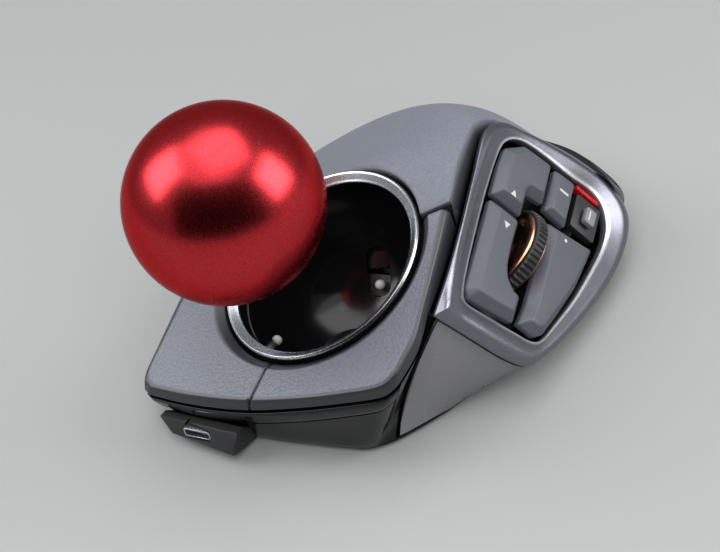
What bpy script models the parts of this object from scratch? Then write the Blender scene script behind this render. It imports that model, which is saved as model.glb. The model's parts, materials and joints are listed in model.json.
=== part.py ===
"""A cordless trackball mouse: a right-handed body with a large ball in a socket on top,
a side panel of thumb keys round a tilting scroll wheel, and its inner works.

Dimensions are in millimetres and become metres where a mesh is made. +X is the user's right,
+Y the front edge, +Z up, and the feet stand on Z = 0. The ball is lifted out along its path,
as when the socket is cleaned. Run with: blender --background --python part.py
"""
import math

import bmesh
import bpy
import numpy as np
from mathutils import Matrix, Vector

MM = 0.001
GAP = 0.3                      # clearance between neighbouring pieces
KEY_GAP = 0.7                  # groove under the top keys, for their travel

# --- ball and socket -------------------------------------------------------------------
BALL_RADIUS = 22.0
CORE_RADIUS = 20.6             # the coloured core inside the clear coat
BALL_OUT = np.array([7.8, 43.9, 60.4])        # ball centre, lifted out of the socket
SOCKET = np.array([1.8, 24.5, 32.5])          # centre of the socket's rim
SOCKET_TILT = (0.1678, 0.3919, 0.9045)        # the rim's normal, leaning forward and right
RING_OUTER = 25.3
RING_INNER = 22.8
RING_DEPTH = 1.7               # from the rim down to the middle of the ring's inner lip
TOP_OPENING = 26.1             # radius of the hole that the top pieces leave for the ring
SEAT_DEPTH = 6.2               # along the ball's path, from the inner lip to the seated centre
CUP_INNER = 23.2
CUP_OUTER = 24.4
CUP_TOP = 3.5                  # depth of the cup's edge below the rim's plane
EJECT_RADIUS = 8.0             # hole under the ball, to push it out with a finger

# --- body ------------------------------------------------------------------------------
HUMP_HEIGHT = 47.4
HUMP_RIDGE_X = -18.1
HUMP_RIDGE_Y = -19.5
SHELL = 1.8                    # wall thickness of the top pieces
SKIRT_DROP = 2.2               # how far the skirt round the socket reaches below the shell
WALL = 1.8                     # wall thickness of the lower case
BASE_Z = 0.8                   # underside of the case, just above the feet
FLOOR_Z = 2.6                  # inner floor of the case
BELT_HEIGHT = 4.6
BELT_THICK = 1.4
SKIRT_THICK = 1.5
BODY_CENTRE = (0.0, -4.0)      # the point that the case's sections turn round
CENTRE_Y = 0.95                # middle of the whole object's length, ball included

# The seam along the lower case's top edge (x, y, z), each point with the point of the flat
# base (x, y) that the wall comes down to. The left side follows the thumb frame instead.
SEAM_FRONT = [(35.2, 56.2, 9.4, 31.0, 50.5), (33.0, 57.4, 9.6, 29.0, 51.8), (20, 58.4, 11.3, 19, 53.2),
              (4, 58.3, 14.2, 5, 52.0), (-12, 56.4, 18.2, -8.4, 49.6), (-26.5, 53.4, 22.0, -15.5, 48.0),
              (-30.6, 51.8, 23.2, -18.0, 47.3), (-32.4, 49.0, 24.6, -20.0, 46.2),
              (-33.0, 41.0, 27.6, -22.0, 44.6)]
SEAM_BACK = [(-38, -48.2, 10.4, -30, -47), (-31, -54, 10.8, -25, -51.5), (-20, -60, 11.0, -17, -56),
             (-4, -63.8, 11.0, -4, -58.4), (12, -63.2, 10.8, 10, -58), (27, -57.6, 10.6, 24, -53.6),
             (38, -47.5, 10.4, 34.5, -45), (44.4, -34, 10.2, 40.4, -33), (46.9, -18, 10.0, 42.6, -18),
             (46.3, 0, 9.6, 42.2, 0), (43.8, 18, 9.2, 39.6, 18), (40.2, 34, 9.0, 36.4, 33),
             (37.6, 48, 9.0, 33.8, 44.5), (36.6, 53.6, 9.2, 32.4, 48.6)]
# Base points under the thumb frame's front, lower and rear sides, from its stations 4 to 15.
BASE_LEFT = [(-23.6, 42.6), (-24.8, 40.6), (-26.6, 37.0), (-28.4, 33.0), (-29.6, 30.0), (-30.8, 26.0),
             (-32.4, 18.0), (-34.6, 7.0), (-36.4, -6.0), (-37.2, -18), (-36.6, -29), (-34.0, -40.0)]
SEAM_CORNERS = (0, 1, 5, 7, 9, 20)            # places where the seam turns sharply
FRONT_BELT = (0, 7)            # seam points between which the belt runs round the front
SIDE_SKIRT = (9, 20)           # seam points between which the grey side skirt runs

# --- thumb panel: its own frame has X up the panel, Y forward and Z out of it ------------
PANEL_ORIGIN = (-35.2, -2.5, 25.2)
PANEL_OUT = (-0.8394, -0.049, 0.5413)
PANEL_FORWARD = (-0.217, 0.9433, -0.2511)
WHEEL_RADIUS = 12.0
WHEEL_CENTRE = (-0.7, -1.3, -6.2)
WHEEL_HALF = 2.4
TILT_DEPTH = -20.2             # the rocking axis, below the wheel
KEY_RISE = 2.5                 # height of a key's flat top above the panel
KEY_BEVEL = 1.9                # width of a key's sloping sides


def unit(vector):
    vector = np.asarray(vector, float)
    return vector / np.linalg.norm(vector)


SOCKET_OUT = unit(SOCKET_TILT)
LIP_CENTRE = SOCKET - RING_DEPTH * SOCKET_OUT
BALL_PATH = unit(BALL_OUT - LIP_CENTRE)
BALL_SEAT = LIP_CENTRE - SEAT_DEPTH * BALL_PATH


# --- small curve and surface helpers ----------------------------------------------------
def spline(points, corners=(), step=4.0, closed=True):
    """A smooth curve through the points, in pieces about `step` long, sharp at the corners."""
    pts = np.asarray(points, float)
    count = len(pts)
    curve = []
    for i in range(count if closed else count - 1):
        p1, p2 = pts[i], pts[(i + 1) % count]
        p0 = pts[(i - 1) % count] if closed or i else p1
        p3 = pts[(i + 2) % count] if closed or i < count - 2 else p2
        if i in corners:
            p0 = p1
        if (i + 1) % count in corners:
            p3 = p2
        pieces = max(1, round(np.linalg.norm(p2 - p1) / step))
        t = np.linspace(0, 1, pieces, endpoint=False)[:, None]
        curve.append(p1 + 0.5 * t * ((p2 - p0) + t * ((2 * p0 - 5 * p1 + 4 * p2 - p3)
                                                     + t * (3 * (p1 - p2) + p3 - p0))))
    if not closed:
        curve.append(pts[-1:])
    return np.vstack(curve)


def ramp(value, softness):
    """Zero below 0 and the value itself above, with a soft bend between."""
    return 0.5 * (value + np.sqrt(value * value + softness * softness))


def top_height(x, y):
    """Height of the upper surface: a tilted flat at the front that runs into a hump."""
    flat = SOCKET[2] - (SOCKET_OUT[0] * (x - SOCKET[0]) + SOCKET_OUT[1] * (y - SOCKET[1])) / SOCKET_OUT[2]
    across = 0.864 * (np.sqrt((x - HUMP_RIDGE_X) ** 2 + 39.4 ** 2) - 39.4)
    back = 1.276 * (np.sqrt(ramp(HUMP_RIDGE_Y - y, 3.0) ** 2 + 17.5 ** 2) - 17.5)
    corner = 18.0 * np.tanh(ramp(-13.3 - x, 4.0) / 18.0) * np.tanh(ramp(-16.5 - y, 4.0) / 20.0)
    hump = HUMP_HEIGHT - np.sqrt(across ** 2 + back ** 2) - corner
    return 0.5 * (flat + hump - np.sqrt((flat - hump) ** 2 + 4.0))


# --- objects and materials --------------------------------------------------------------
for old in list(bpy.data.objects):
    bpy.data.objects.remove(old, do_unlink=True)


def make_material(name, colour, roughness, metallic=0.0):
    material = bpy.data.materials.new(name)
    material.use_nodes = True
    shader = material.node_tree.nodes["Principled BSDF"]
    shader.inputs["Base Color"].default_value = (*colour, 1.0)
    shader.inputs["Roughness"].default_value = roughness
    shader.inputs["Metallic"].default_value = metallic
    material.diffuse_color = (*colour, 1.0)
    return material


CHARCOAL = make_material("charcoal", (0.055, 0.062, 0.072), 0.55)
BLACK = make_material("black_gloss", (0.008, 0.008, 0.009), 0.15)
GREY = make_material("grey_gloss", (0.20, 0.20, 0.205), 0.25)
GUNMETAL = make_material("gunmetal", (0.10, 0.105, 0.115), 0.3, 0.6)
SILVER = make_material("silver", (0.62, 0.63, 0.65), 0.25, 1.0)
RED = make_material("ball_red", (0.42, 0.01, 0.02), 0.15)
COPPER = make_material("copper", (0.62, 0.28, 0.17), 0.25, 1.0)
RUBBER = make_material("rubber", (0.012, 0.012, 0.012), 0.7)
STEEL = make_material("steel", (0.55, 0.55, 0.56), 0.3, 1.0)
BOARD = make_material("board_green", (0.02, 0.12, 0.05), 0.5)
CERAMIC = make_material("bearing_white", (0.75, 0.75, 0.72), 0.2)
LED_RED = make_material("led_red", (0.5, 0.01, 0.01), 0.3)
FOIL = make_material("battery_foil", (0.35, 0.36, 0.38), 0.35, 0.8)
SLIDER = make_material("slider_grey", (0.25, 0.26, 0.28), 0.4)


def make_empty(name, origin, z_axis=(0, 0, 1), y_axis=(0, 1, 0), parent=None):
    """A frame for pieces: Z along z_axis, and Y as near to y_axis as that allows."""
    z = Vector(z_axis).normalized()
    x = Vector(y_axis).cross(z).normalized()
    empty = bpy.data.objects.new(name, None)
    bpy.context.collection.objects.link(empty)
    empty.parent = parent
    turn = Matrix((x, z.cross(x), z)).transposed()
    empty.matrix_local = Matrix.Translation(Vector(origin) * MM) @ turn.to_4x4()
    return empty


def add_mesh(name, verts, faces, material, parent, at=(0, 0, 0), helper=False):
    """A piece whose points are given in its parent's frame, with its own origin at `at`."""
    at = np.asarray(at, float)
    mesh = bpy.data.meshes.new(name)
    mesh.from_pydata(((np.asarray(verts, float) - at) * MM).tolist(), [], [tuple(f) for f in faces])
    shape = bmesh.new()
    shape.from_mesh(mesh)
    bmesh.ops.remove_doubles(shape, verts=shape.verts, dist=2e-6)
    bmesh.ops.dissolve_degenerate(shape, edges=shape.edges, dist=1e-6)
    bmesh.ops.recalc_face_normals(shape, faces=shape.faces)
    shape.to_mesh(mesh)
    shape.free()
    mesh.shade_smooth()
    mesh.set_sharp_from_angle(angle=math.radians(35))
    piece = bpy.data.objects.new(name, mesh)
    bpy.context.collection.objects.link(piece)
    piece.parent = parent
    piece.location = Vector(at) * MM
    mesh.materials.append(material)
    if helper:
        piece.hide_render = True
        piece.display_type = "WIRE"
    return piece


def sweep(name, sections, material, parent, closed=False, **options):
    """A solid through sections that have the same number of points; open ends are capped."""
    sections = np.asarray(sections, float)
    rows, size = sections.shape[:2]
    faces = []
    for i in range(rows if closed else rows - 1):
        low, high = i * size, (i + 1) % rows * size
        for k in range(size):
            after = (k + 1) % size
            faces.append((low + k, low + after, high + after, high + k))
    if not closed:
        faces += [tuple(range(size))[::-1], tuple(range((rows - 1) * size, rows * size))]
    return add_mesh(name, sections.reshape(-1, 3), faces, material, parent, **options)


def prism(name, outline, low, high, material, parent, **options):
    """An outline in the frame's XY plane, extruded from height `low` to `high`."""
    flat = np.asarray(outline, float)
    sections = [np.c_[flat, np.full(len(flat), height)] for height in (low, high)]
    return sweep(name, sections, material, parent, **options)


def rectangle(x0, x1, y0, y1):
    return [(x0, y0), (x1, y0), (x1, y1), (x0, y1)]


def rounded(x0, x1, y0, y1, radius, steps=3):
    """A rectangle with round corners."""
    turns = np.radians(np.linspace(0, 90, steps + 1))
    points = []
    for corner, (x, y) in enumerate(((x1 - radius, y1 - radius), (x0 + radius, y1 - radius),
                                     (x0 + radius, y0 + radius), (x1 - radius, y0 + radius))):
        spin = turns + corner * math.pi / 2
        points += list(zip(x + radius * np.cos(spin), y + radius * np.sin(spin)))
    return points


def circle(radius, centre=(0, 0), steps=20):
    spin = np.linspace(0, 2 * math.pi, steps, endpoint=False)
    return np.c_[centre[0] + radius * np.cos(spin), centre[1] + radius * np.sin(spin)]


def turned(name, profile, material, parent, steps=32, axis=2, centre=(0, 0, 0), **options):
    """A profile of (radius, height) points turned round one axis of the frame."""
    profile = np.asarray(profile, float)
    others = [k for k in range(3) if k != axis]
    sections = []
    for spin in np.linspace(0, 2 * math.pi, steps, endpoint=False):
        section = np.zeros((len(profile), 3))
        section[:, others[0]] = profile[:, 0] * math.cos(spin)
        section[:, others[1]] = profile[:, 0] * math.sin(spin)
        section[:, axis] = profile[:, 1]
        sections.append(section + np.asarray(centre, float))
    return sweep(name, sections, material, parent, closed=True, **options)


def cut(piece, *cutters):
    """Take hidden helper solids out of a piece."""
    for cutter in cutters:
        boolean = piece.modifiers.new(cutter.name, "BOOLEAN")
        boolean.operation = "DIFFERENCE"
        boolean.solver = "EXACT"
        boolean.object = cutter


def hole(name, outline, low, high, parent):
    return prism("cutter_" + name, outline, low, high, BLACK, parent, helper=True)


mouse = make_empty("mouse", (0, -CENTRE_Y, 0))
socket = make_empty("socket_frame", SOCKET, SOCKET_OUT, parent=mouse)
path = make_empty("ball_path", BALL_SEAT, BALL_PATH, parent=mouse)
panel = make_empty("panel_frame", PANEL_ORIGIN, PANEL_OUT, PANEL_FORWARD, parent=mouse)
bpy.context.view_layer.update()


# --- thumb frame's stations and the seam ----------------------------------------------------
# Stations round the thumb frame, in the panel's own frame: inner edge (x, y), outer crest
# (x, y, z), then how far the outer side drops below the crest.
FRAME_STATIONS = [
    ((13.6, -19.6), (19.0, -22.0, 0.4), 2.6), ((14.0, -8.0), (19.2, -8.0, 1.4), 2.6),
    ((13.6, 6.0), (18.8, 7.0, 1.9), 2.6), ((12.8, 18.0), (18.2, 20.0, 1.3), 2.4),
    ((12.0, 21.6), (17.9, 30.8, 0.0), 1.8), ((10.2, 22.6), (12.6, 29.8, -0.6), 1.5),
    ((3.0, 21.8), (5.0, 29.0, -0.6), 1.5), ((-4.0, 20.8), (-3.4, 28.0, -0.6), 1.5),
    ((-9.0, 19.9), (-9.8, 26.2, -0.4), 1.6), ((-11.8, 17.6), (-13.0, 22.6, 0.0), 1.8),
    ((-14.6, 10.8), (-17.4, 14.6, 0.5), 2.0), ((-18.0, 1.6), (-22.6, 3.0, 0.8), 2.2),
    ((-21.0, -9.4), (-26.6, -8.0, 0.9), 2.4), ((-22.6, -17.0), (-28.8, -18.0, 1.0), 2.4),
    ((-22.4, -23.4), (-29.0, -26.6, 1.0), 2.4), ((-19.4, -27.6), (-26.6, -32.0, 0.9), 2.4),
    ((-14.6, -29.2), (-19.6, -35.0, 0.6), 2.4), ((-7.0, -28.4), (-10.0, -35.0, 0.2), 2.4),
    ((1.0, -28.2), (-1.0, -33.4, -0.2), 2.4), ((8.0, -27.2), (7.4, -31.0, -0.2), 2.4),
    ((12.0, -24.4), (14.6, -28.4, 0.0), 2.4)]
FRAME_CORNERS = (4,)
PANEL_Z = unit(PANEL_OUT)
PANEL_X = unit(np.cross(PANEL_FORWARD, PANEL_Z))
PANEL_Y = np.cross(PANEL_Z, PANEL_X)


def from_panel(x, y, z):
    return np.asarray(PANEL_ORIGIN) + x * PANEL_X + y * PANEL_Y + z * PANEL_Z


def frame_foot(k, gap):
    """Lower outer edge of the thumb frame at a station, moved outwards by a gap."""
    inner, (x, y, z), drop = FRAME_STATIONS[k]
    way = unit(np.array([x, y]) - inner)
    return from_panel(x + gap * way[0], y + gap * way[1], z - drop)


SEAM_LEFT = [(*frame_foot(4 + k, -0.6)[:2], frame_foot(4 + k, -0.6)[2] - GAP, *base)
             for k, base in enumerate(BASE_LEFT)]
SEAM = SEAM_FRONT + SEAM_LEFT + SEAM_BACK


# --- lower case, belt and skirt -----------------------------------------------------------
seam = spline(SEAM, SEAM_CORNERS, step=5.5)


def seam_index(point):
    """The place of one of the SEAM points in the finer seam curve."""
    return int(np.argmin(np.linalg.norm(seam - np.array(SEAM[point]), axis=1)))


def body_point(i, height, inset=0.0):
    """A point of the wall below the seam: hollow at the left side, fuller elsewhere."""
    rise = np.clip((height - BASE_Z) / (seam[i, 2] - BASE_Z), 0, 1)
    power = 1.6 if seam_index(8) <= i <= seam_index(SIDE_SKIRT[1]) else 0.85
    spot = seam[i, 3:] + (seam[i, :2] - seam[i, 3:]) * rise ** power
    inward = unit(BODY_CENTRE - spot)
    return (*(spot + inset * inward), height)


def spread(span):
    """Seam places from one SEAM point to another, both ends included."""
    return range(seam_index(span[0]), seam_index(span[1]) + 1)


def wall_levels(low, top):
    return np.linspace(low, top, 5)


def case_section(i):
    """The case's wall and floor along one direction, from the middle of the floor outwards."""
    top = seam[i, 2]
    inset, step = 0.0, BASE_Z + 1.2
    if i in spread(FRONT_BELT):
        inset, step = BELT_THICK + GAP, top - BELT_HEIGHT - GAP
    elif i in spread(SIDE_SKIRT):
        inset = SKIRT_THICK + GAP
    levels = wall_levels(step, top)
    section = [(*BODY_CENTRE, BASE_Z), body_point(i, BASE_Z, 1.0), body_point(i, BASE_Z + 0.6)]
    section += [body_point(i, step)]
    section += [body_point(i, level, inset) for level in (step + 0.01, *levels[1:])]
    section += [body_point(i, top, inset + WALL)]
    section += [body_point(i, level, inset + WALL + 0.2) for level in levels[-2:0:-1]]
    section += [body_point(i, FLOOR_Z, inset + WALL + 0.6), (*BODY_CENTRE, FLOOR_Z)]
    return section


# Ends of the charging socket's housing: x at the top, lean to the bottom, y of the face, z of its top.
USB_ENDS = [(6.6, 1.2, 60.0, 8.8), (30.4, -4.4, 58.6, 5.6)]


def usb_notch():
    """Room for the charging socket's housing in the case's front."""
    ends = []
    for side, (x, lean, y, top) in zip((-GAP, GAP), USB_ENDS):
        low = x + lean + side
        ends.append([(x + side, y + 9.0, top + GAP), (low, y + 9.0, -2.0), (low, 48.9, -2.0),
                     (low, 48.9, BASE_Z + 0.6), (x + side, y - 2.8, top + GAP)])
    return sweep("cutter_usb_notch", ends, BLACK, mouse, helper=True)


def build_case():
    sections = [case_section(i) for i in range(len(seam))]
    case = sweep("lower_case", sections, BLACK, mouse, closed=True)
    cut(case,
        hole("eject", circle(EJECT_RADIUS, BALL_SEAT[:2], 24), -1, 8, mouse),
        hole("battery_bay", rectangle(-25.5, 29.5, -44.6, -29.4), -1, 5, mouse),
        hole("cover_track", rectangle(-27.4, 31.4, -80, -27.8), -1, BASE_Z + 1.2, mouse),
        hole("mode_slot", rounded(-11.5, -0.5, -14.2, -10.2, 0.8), -1, 5, mouse),
        hole("pairing_hole", circle(2.3, (10, -12.2), 16), -1, 5, mouse),
        usb_notch())
    for k, (x, y) in enumerate(SCREWS):
        cut(case, hole(f"screw_hole_{k}", circle(1.6, (x, y), 12), -1, 5, mouse),
            hole(f"screw_seat_{k}", circle(2.7, (x, y), 16), -1, BASE_Z + 0.9, mouse))
    return case


def build_belt():
    sections = []
    for i in spread(FRONT_BELT):
        top = seam[i, 2] - GAP
        low = seam[i, 2] - BELT_HEIGHT
        sections.append([body_point(i, height, inset) for height, inset in (
            (top, 0.0), (top - 0.8, -0.35), (low + 0.8, -0.35), (low, 0.0), (low, BELT_THICK),
            (top, BELT_THICK))])
    return sweep("front_belt", sections, BLACK, mouse)


def build_skirt():
    sections = []
    for i in spread(SIDE_SKIRT)[1:-1]:
        levels = wall_levels(BASE_Z + 1.2, seam[i, 2])
        levels[0] += GAP
        levels[-1] -= 0.05
        section = [body_point(i, height) for height in levels]
        section += [body_point(i, height, SKIRT_THICK) for height in levels[::-1]]
        sections.append(section)
    return sweep("side_skirt", sections, GREY, mouse)


SCREWS = [(27, 36), (-23, 26), (37, -16)]


# --- top pieces ----------------------------------------------------------------------------
def edge_profile(inner, outer, bottom, round_in, round_out):
    """One radial section of a top piece, as fractions along the ray and depths or heights.

    Each entry is (distance along the ray, depth below the surface there, fixed height or None).
    """
    length = outer - inner
    drop = SHELL + SKIRT_DROP
    return [(inner, round_in, None), (inner + 0.35 * round_in, 0.3 * round_in, None),
            (inner + 1.2 * round_in, 0.0, None), (inner + 0.35 * length, 0.0, None),
            (inner + 0.7 * length, 0.0, None), (outer - round_out, 0.0, None),
            (outer - 0.4 * round_out, 0.35 * round_out, None), (outer, None, bottom + 0.45),
            (outer, None, bottom), (outer - 1.5, None, bottom),
            (outer - 1.6 - round_out, SHELL, None), (inner + 0.5 * length, SHELL, None),
            (inner + 1.6, SHELL, None), (inner + 1.5, drop, None), (inner, drop, None)]


def ray_section(centre, direction, profile, lean_from=None, lean_to=None):
    """Points of one radial section on the upper surface; the wall beside the socket leans with it."""
    points = []
    for distance, depth, fixed in profile:
        x = centre[0] + distance * direction[0]
        y = centre[1] + distance * direction[1]
        height = top_height(x, y) - depth if fixed is None else fixed
        if lean_from is not None and lean_from <= distance <= lean_to:
            slide = max(0.0, top_height(x, y) - height) / SOCKET_OUT[2]
            x, y = x - slide * SOCKET_OUT[0], y - slide * SOCKET_OUT[1]
        points.append((x, y, height))
    return points


def top_outline():
    """Outline of the top pieces in plan: the seam at the front, right and back, and the thumb
    frame's upper and rear edges on the left, with the height of the wall's lower edge. Beside
    the frame the wall tucks in below it."""
    left = [tuple(frame_foot(k, 0.5) - (0, 0, tuck)) for k, tuck in (
        (4, 0.3), (3, 1.8), (2, 2.6), (1, 2.8), (0, 2.8), (20, 2.8), (19, 2.6), (18, 2.0), (17, 1.2),
        (16, 0.5), (15, 0.0))]
    points = [p[:3] for p in SEAM_BACK + SEAM_FRONT] + left
    corners = [len(SEAM_BACK) + k for k in (0, 1, 5, 7)]
    corners += [len(SEAM_BACK) + len(SEAM_FRONT) + k for k in (0, 4)]
    curve = spline(points, corners, step=4.5)
    curve[:, 2] += KEY_GAP
    return curve


OUTLINE = top_outline()


def outline_at(angle):
    """Where a ray from the socket first meets the outline: distance, lower edge and segment."""
    way = np.array([math.cos(angle), math.sin(angle)])
    rel = OUTLINE[:, :2] - SOCKET[:2]
    side = rel[:, 0] * way[1] - rel[:, 1] * way[0]
    ahead = rel @ way
    following = np.roll(np.arange(len(OUTLINE)), -1)
    best = None
    for i, j in enumerate(following):
        if side[i] * side[j] <= 0 and side[i] != side[j]:
            t = side[i] / (side[i] - side[j])
            reach = ahead[i] + t * (ahead[j] - ahead[i])
            if reach > 0 and (best is None or reach < best[0]):
                best = (reach, OUTLINE[i, 2] + t * (OUTLINE[j, 2] - OUTLINE[i, 2]), i)
    return best


SPLIT_FRONT = math.radians(88.5)       # between the front keys, seen from the socket
SPLIT_LEFT = math.radians(209.5)       # between the left key and the cover
SPLIT_RIGHT = math.radians(-14.0)      # between the right key and the cover
SPLIT_SMALL = (math.radians(-14.0), math.radians(-27.0), math.radians(-40.0))
SMALL_KEY_INNER = 33.5


def sector(start, end, gap=0.3):
    """Angles from the socket between two splits, aimed at the outline's own points."""
    rel = OUTLINE[:, :2] - SOCKET[:2]
    angles = start + (np.arctan2(rel[:, 1], rel[:, 0]) - start) % (2 * math.pi)
    edge = gap / 32.0
    inside = sorted(a for a in angles if start + 2 * edge < a < end - 2 * edge)
    rays = [start + edge]
    for angle in inside:
        if angle - rays[-1] > math.radians(2.0):
            rays.append(angle)
    if end - edge - rays[-1] < math.radians(1.5) and len(rays) > 1:
        rays.pop()
    return rays + [end - edge]


def surface_radius(angle):
    """Plan distance from the socket's centre to its tilted circular opening."""
    direction = np.array([math.cos(angle), math.sin(angle)])
    tilt = SOCKET_OUT[:2] @ direction / SOCKET_OUT[2]
    return TOP_OPENING / math.hypot(1.0, tilt)


def top_key(name, start, end, pivot, inner=None):
    """A key of the top surface: a sector of it round the socket, with rounded edges."""
    sections = []
    for angle in sector(start, end):
        far, bottom, _ = outline_at(angle)
        near = surface_radius(angle) if inner is None else inner
        way = np.array([math.cos(angle), math.sin(angle)])
        height = top_height(*(SOCKET[:2] + far * way)) - bottom
        round_out = min(max(0.34 * height, 0.9), 4.0)
        profile = edge_profile(near, far, bottom, 1.0, round_out)
        lean = (None, None) if inner else (near - 0.1, near + 1.7)
        sections.append(ray_section(SOCKET, way, profile, *lean))
    return sweep(name, sections, CHARCOAL, mouse, at=pivot)


def build_cover():
    """The palm cover: rays from a point on the hump to every side of its outline."""
    centre = np.array([5.0, -22.0])
    left, right = SPLIT_LEFT + 0.01, SPLIT_SMALL[2] - 0.01
    border = []
    for angle in (left, right):
        reach, low, _ = outline_at(angle)
        border.append((*(SOCKET[:2] + reach * np.array([math.cos(angle), math.sin(angle)])), low, False))
    first, last = outline_at(left)[2] + 2, outline_at(right)[2]
    if last < first:
        last += len(OUTLINE)
    around = [(*OUTLINE[k % len(OUTLINE)], False) for k in range(first, last)]
    border = border[:1] + around + border[1:]
    # Along the small side keys the cover stops short of them, then it runs round the socket.
    for angle in np.linspace(right, SPLIT_RIGHT - 0.01, 6):
        point = SOCKET[:2] + (SMALL_KEY_INNER - 0.7) * np.array([math.cos(angle), math.sin(angle)])
        border.append((*point, None, True))
    for angle in np.linspace(SPLIT_RIGHT - 0.01, left - 2 * math.pi, 18):
        point = SOCKET[:2] + surface_radius(angle) * np.array([math.cos(angle), math.sin(angle)])
        border.append((*point, None, True))
    sections = []
    for x, y, bottom, thin in border:
        reach = math.hypot(x - centre[0], y - centre[1])
        way = np.array([x - centre[0], y - centre[1]]) / reach
        surface = float(top_height(x, y))
        if thin:
            bottom = surface - SHELL - SKIRT_DROP
        round_out = 1.0 if thin else min(max(0.34 * (surface - bottom), 0.9), 4.0)
        profile = [(0.0, 0.0, None), (0.3 * reach, 0.0, None), (0.6 * reach, 0.0, None),
                   (reach - round_out - 2.0, 0.0, None), (reach - round_out, 0.0, None),
                   (reach - 0.4 * round_out, 0.35 * round_out, None),
                   (reach, None, surface - 1.0 if thin else bottom + 0.45), (reach, None, bottom),
                   (reach - 1.5, None, bottom), (reach - 1.6 - round_out, SHELL, None),
                   (0.5 * reach, SHELL, None), (0.0, SHELL, None)]
        lean = (reach - 1.55, reach + 0.1) if thin else (None, None)
        sections.append(ray_section(centre, way, profile, *lean))
    return sweep("top_cover", sections, CHARCOAL, mouse, closed=True)


# --- socket --------------------------------------------------------------------------------
def build_ring():
    profile = [(RING_OUTER, -0.5), (RING_OUTER - 0.4, 0.0), (RING_OUTER - 0.9, -0.1),
               (RING_INNER + 0.5, -1.05), (RING_INNER, -1.35), (RING_INNER, -2.05),
               (RING_INNER + 1.0, -3.1), (RING_OUTER, -3.1)]
    return turned("socket_ring", profile, SILVER, socket, steps=48)


def build_cup():
    """A bowl round the seated ball that runs up along the ball's path to the ring."""
    to_path = path.matrix_local.inverted()
    up = to_path.to_3x3() @ Vector(SOCKET_OUT)
    rim = to_path @ (Vector(SOCKET - CUP_TOP * SOCKET_OUT) * MM) / MM
    arc = np.linspace(math.pi / 2, math.pi, 8)
    sections = []
    for spin in np.linspace(0, 2 * math.pi, 40, endpoint=False):
        way = np.array([math.cos(spin), math.sin(spin)])
        section = []
        for radius, bows in ((CUP_OUTER, arc), (CUP_INNER, arc[::-1])):
            edge = rim.z - ((radius * way[0] - rim.x) * up.x + (radius * way[1] - rim.y) * up.y) / up.z
            bowl = [(*(radius * math.sin(bow) * way), radius * math.cos(bow)) for bow in bows]
            lip = [(*(radius * way), edge)]
            section += lip + bowl if radius == CUP_OUTER else bowl + lip
        sections.append(section)
    cup = sweep("ball_cup", sections, BLACK, path, closed=True)
    cut(cup, hole("finger_hole", circle(EJECT_RADIUS, BALL_SEAT[:2], 24), -3, 12, mouse))
    for k, way in enumerate(BEARING_WAYS):
        frame = make_empty(f"bearing_frame_{k}", BALL_SEAT, way, (0.1, 0.2, 1.0), parent=mouse)
        bearing_frames.append(frame)
        if k:
            cut(cup, hole(f"bearing_window_{k}", circle(1.8, steps=14), 20, 27, frame))
        else:
            cut(cup, hole("sensor_window", rounded(-3.0, 3.0, -3.0, 9.0, 2.4), 20, 27, frame))
    return cup


BEARING_WAYS = [(0.09, -0.74, -0.67), (0.62, 0.42, -0.66), (-0.68, 0.30, -0.67)]
bearing_frames = []


def build_bearings():
    """Three small balls that carry the big one, on a ring-shaped holder behind the cup's wall."""
    radius = 1.25
    centre = BALL_RADIUS + radius + 0.15
    arc = np.linspace(0, math.pi, 9)
    profile = np.c_[radius * np.sin(arc), centre - radius * np.cos(arc)]
    for k, frame in enumerate(bearing_frames):
        turned(f"support_bearing_{k + 1}", profile, CERAMIC, frame, steps=14)
    band = [(CUP_OUTER + out, math.radians(bow)) for out, bow in
            ((0.75, 126), (2.4, 126), (2.4, 138), (0.75, 138))]
    turned("bearing_holder", [(reach * math.sin(bow), reach * math.cos(bow)) for reach, bow in band],
           BLACK, mouse, steps=40, centre=BALL_SEAT)
    frame = bearing_frames[0]
    prism("sensor_lens", rounded(-2.4, 2.4, 4.0, 8.2, 0.6, 2), 23.4, 24.6, BLACK, frame)
    prism("sensor_board", rectangle(-5.5, 5.5, 4.4, 14.0), 25.6, 26.8, BOARD, frame)


def build_ball():
    """A coloured core in a clear coat; the coat turns on the core and has a pinhole below."""
    frame = make_empty("ball_frame", BALL_OUT, BALL_PATH, parent=mouse)
    arc = np.linspace(0, math.pi, 13)
    turned("ball_core", np.c_[CORE_RADIUS * np.sin(arc), -CORE_RADIUS * np.cos(arc)], RED, frame,
           steps=20)
    inner = CORE_RADIUS + 0.3
    pin = np.linspace(0.035, math.pi, 14)
    outer_side = np.c_[BALL_RADIUS * np.sin(pin), -BALL_RADIUS * np.cos(pin)]
    inner_side = np.c_[inner * np.sin(pin), -inner * np.cos(pin)][::-1]
    turned("ball_coat", np.vstack([outer_side, inner_side]), RED, frame, steps=26)


# --- thumb panel -----------------------------------------------------------------------------
def build_thumb_frame():
    rows = np.array([(*a, *b, c) for a, b, c in FRAME_STATIONS])
    rows = spline(rows, FRAME_CORNERS, step=4.5)
    sections = []
    for ix, iy, ox, oy, oz, drop in rows:
        inner, outer = np.array([ix, iy]), np.array([ox, oy])
        way = unit(outer - inner)
        swell = 0.16 * np.linalg.norm(outer - inner)
        bead = inner + 0.35 * (outer - inner)
        crown = inner + 0.72 * (outer - inner)
        below = outer - 0.9 * way
        sections.append([(*inner, 0.1), (*bead, 0.1 + 0.5 * swell), (*crown, 0.35 * oz + 0.85 * swell),
                         (*outer, oz - 0.3), (*(outer - 0.1 * way), oz - 0.6 * drop),
                         (*below, oz - drop), (*(below - 1.6 * way), oz - drop),
                         (*(inner + 0.9 * way), -2.2), (*inner, -2.2)])
    return sweep("thumb_frame", sections, GUNMETAL, panel, closed=True)


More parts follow.
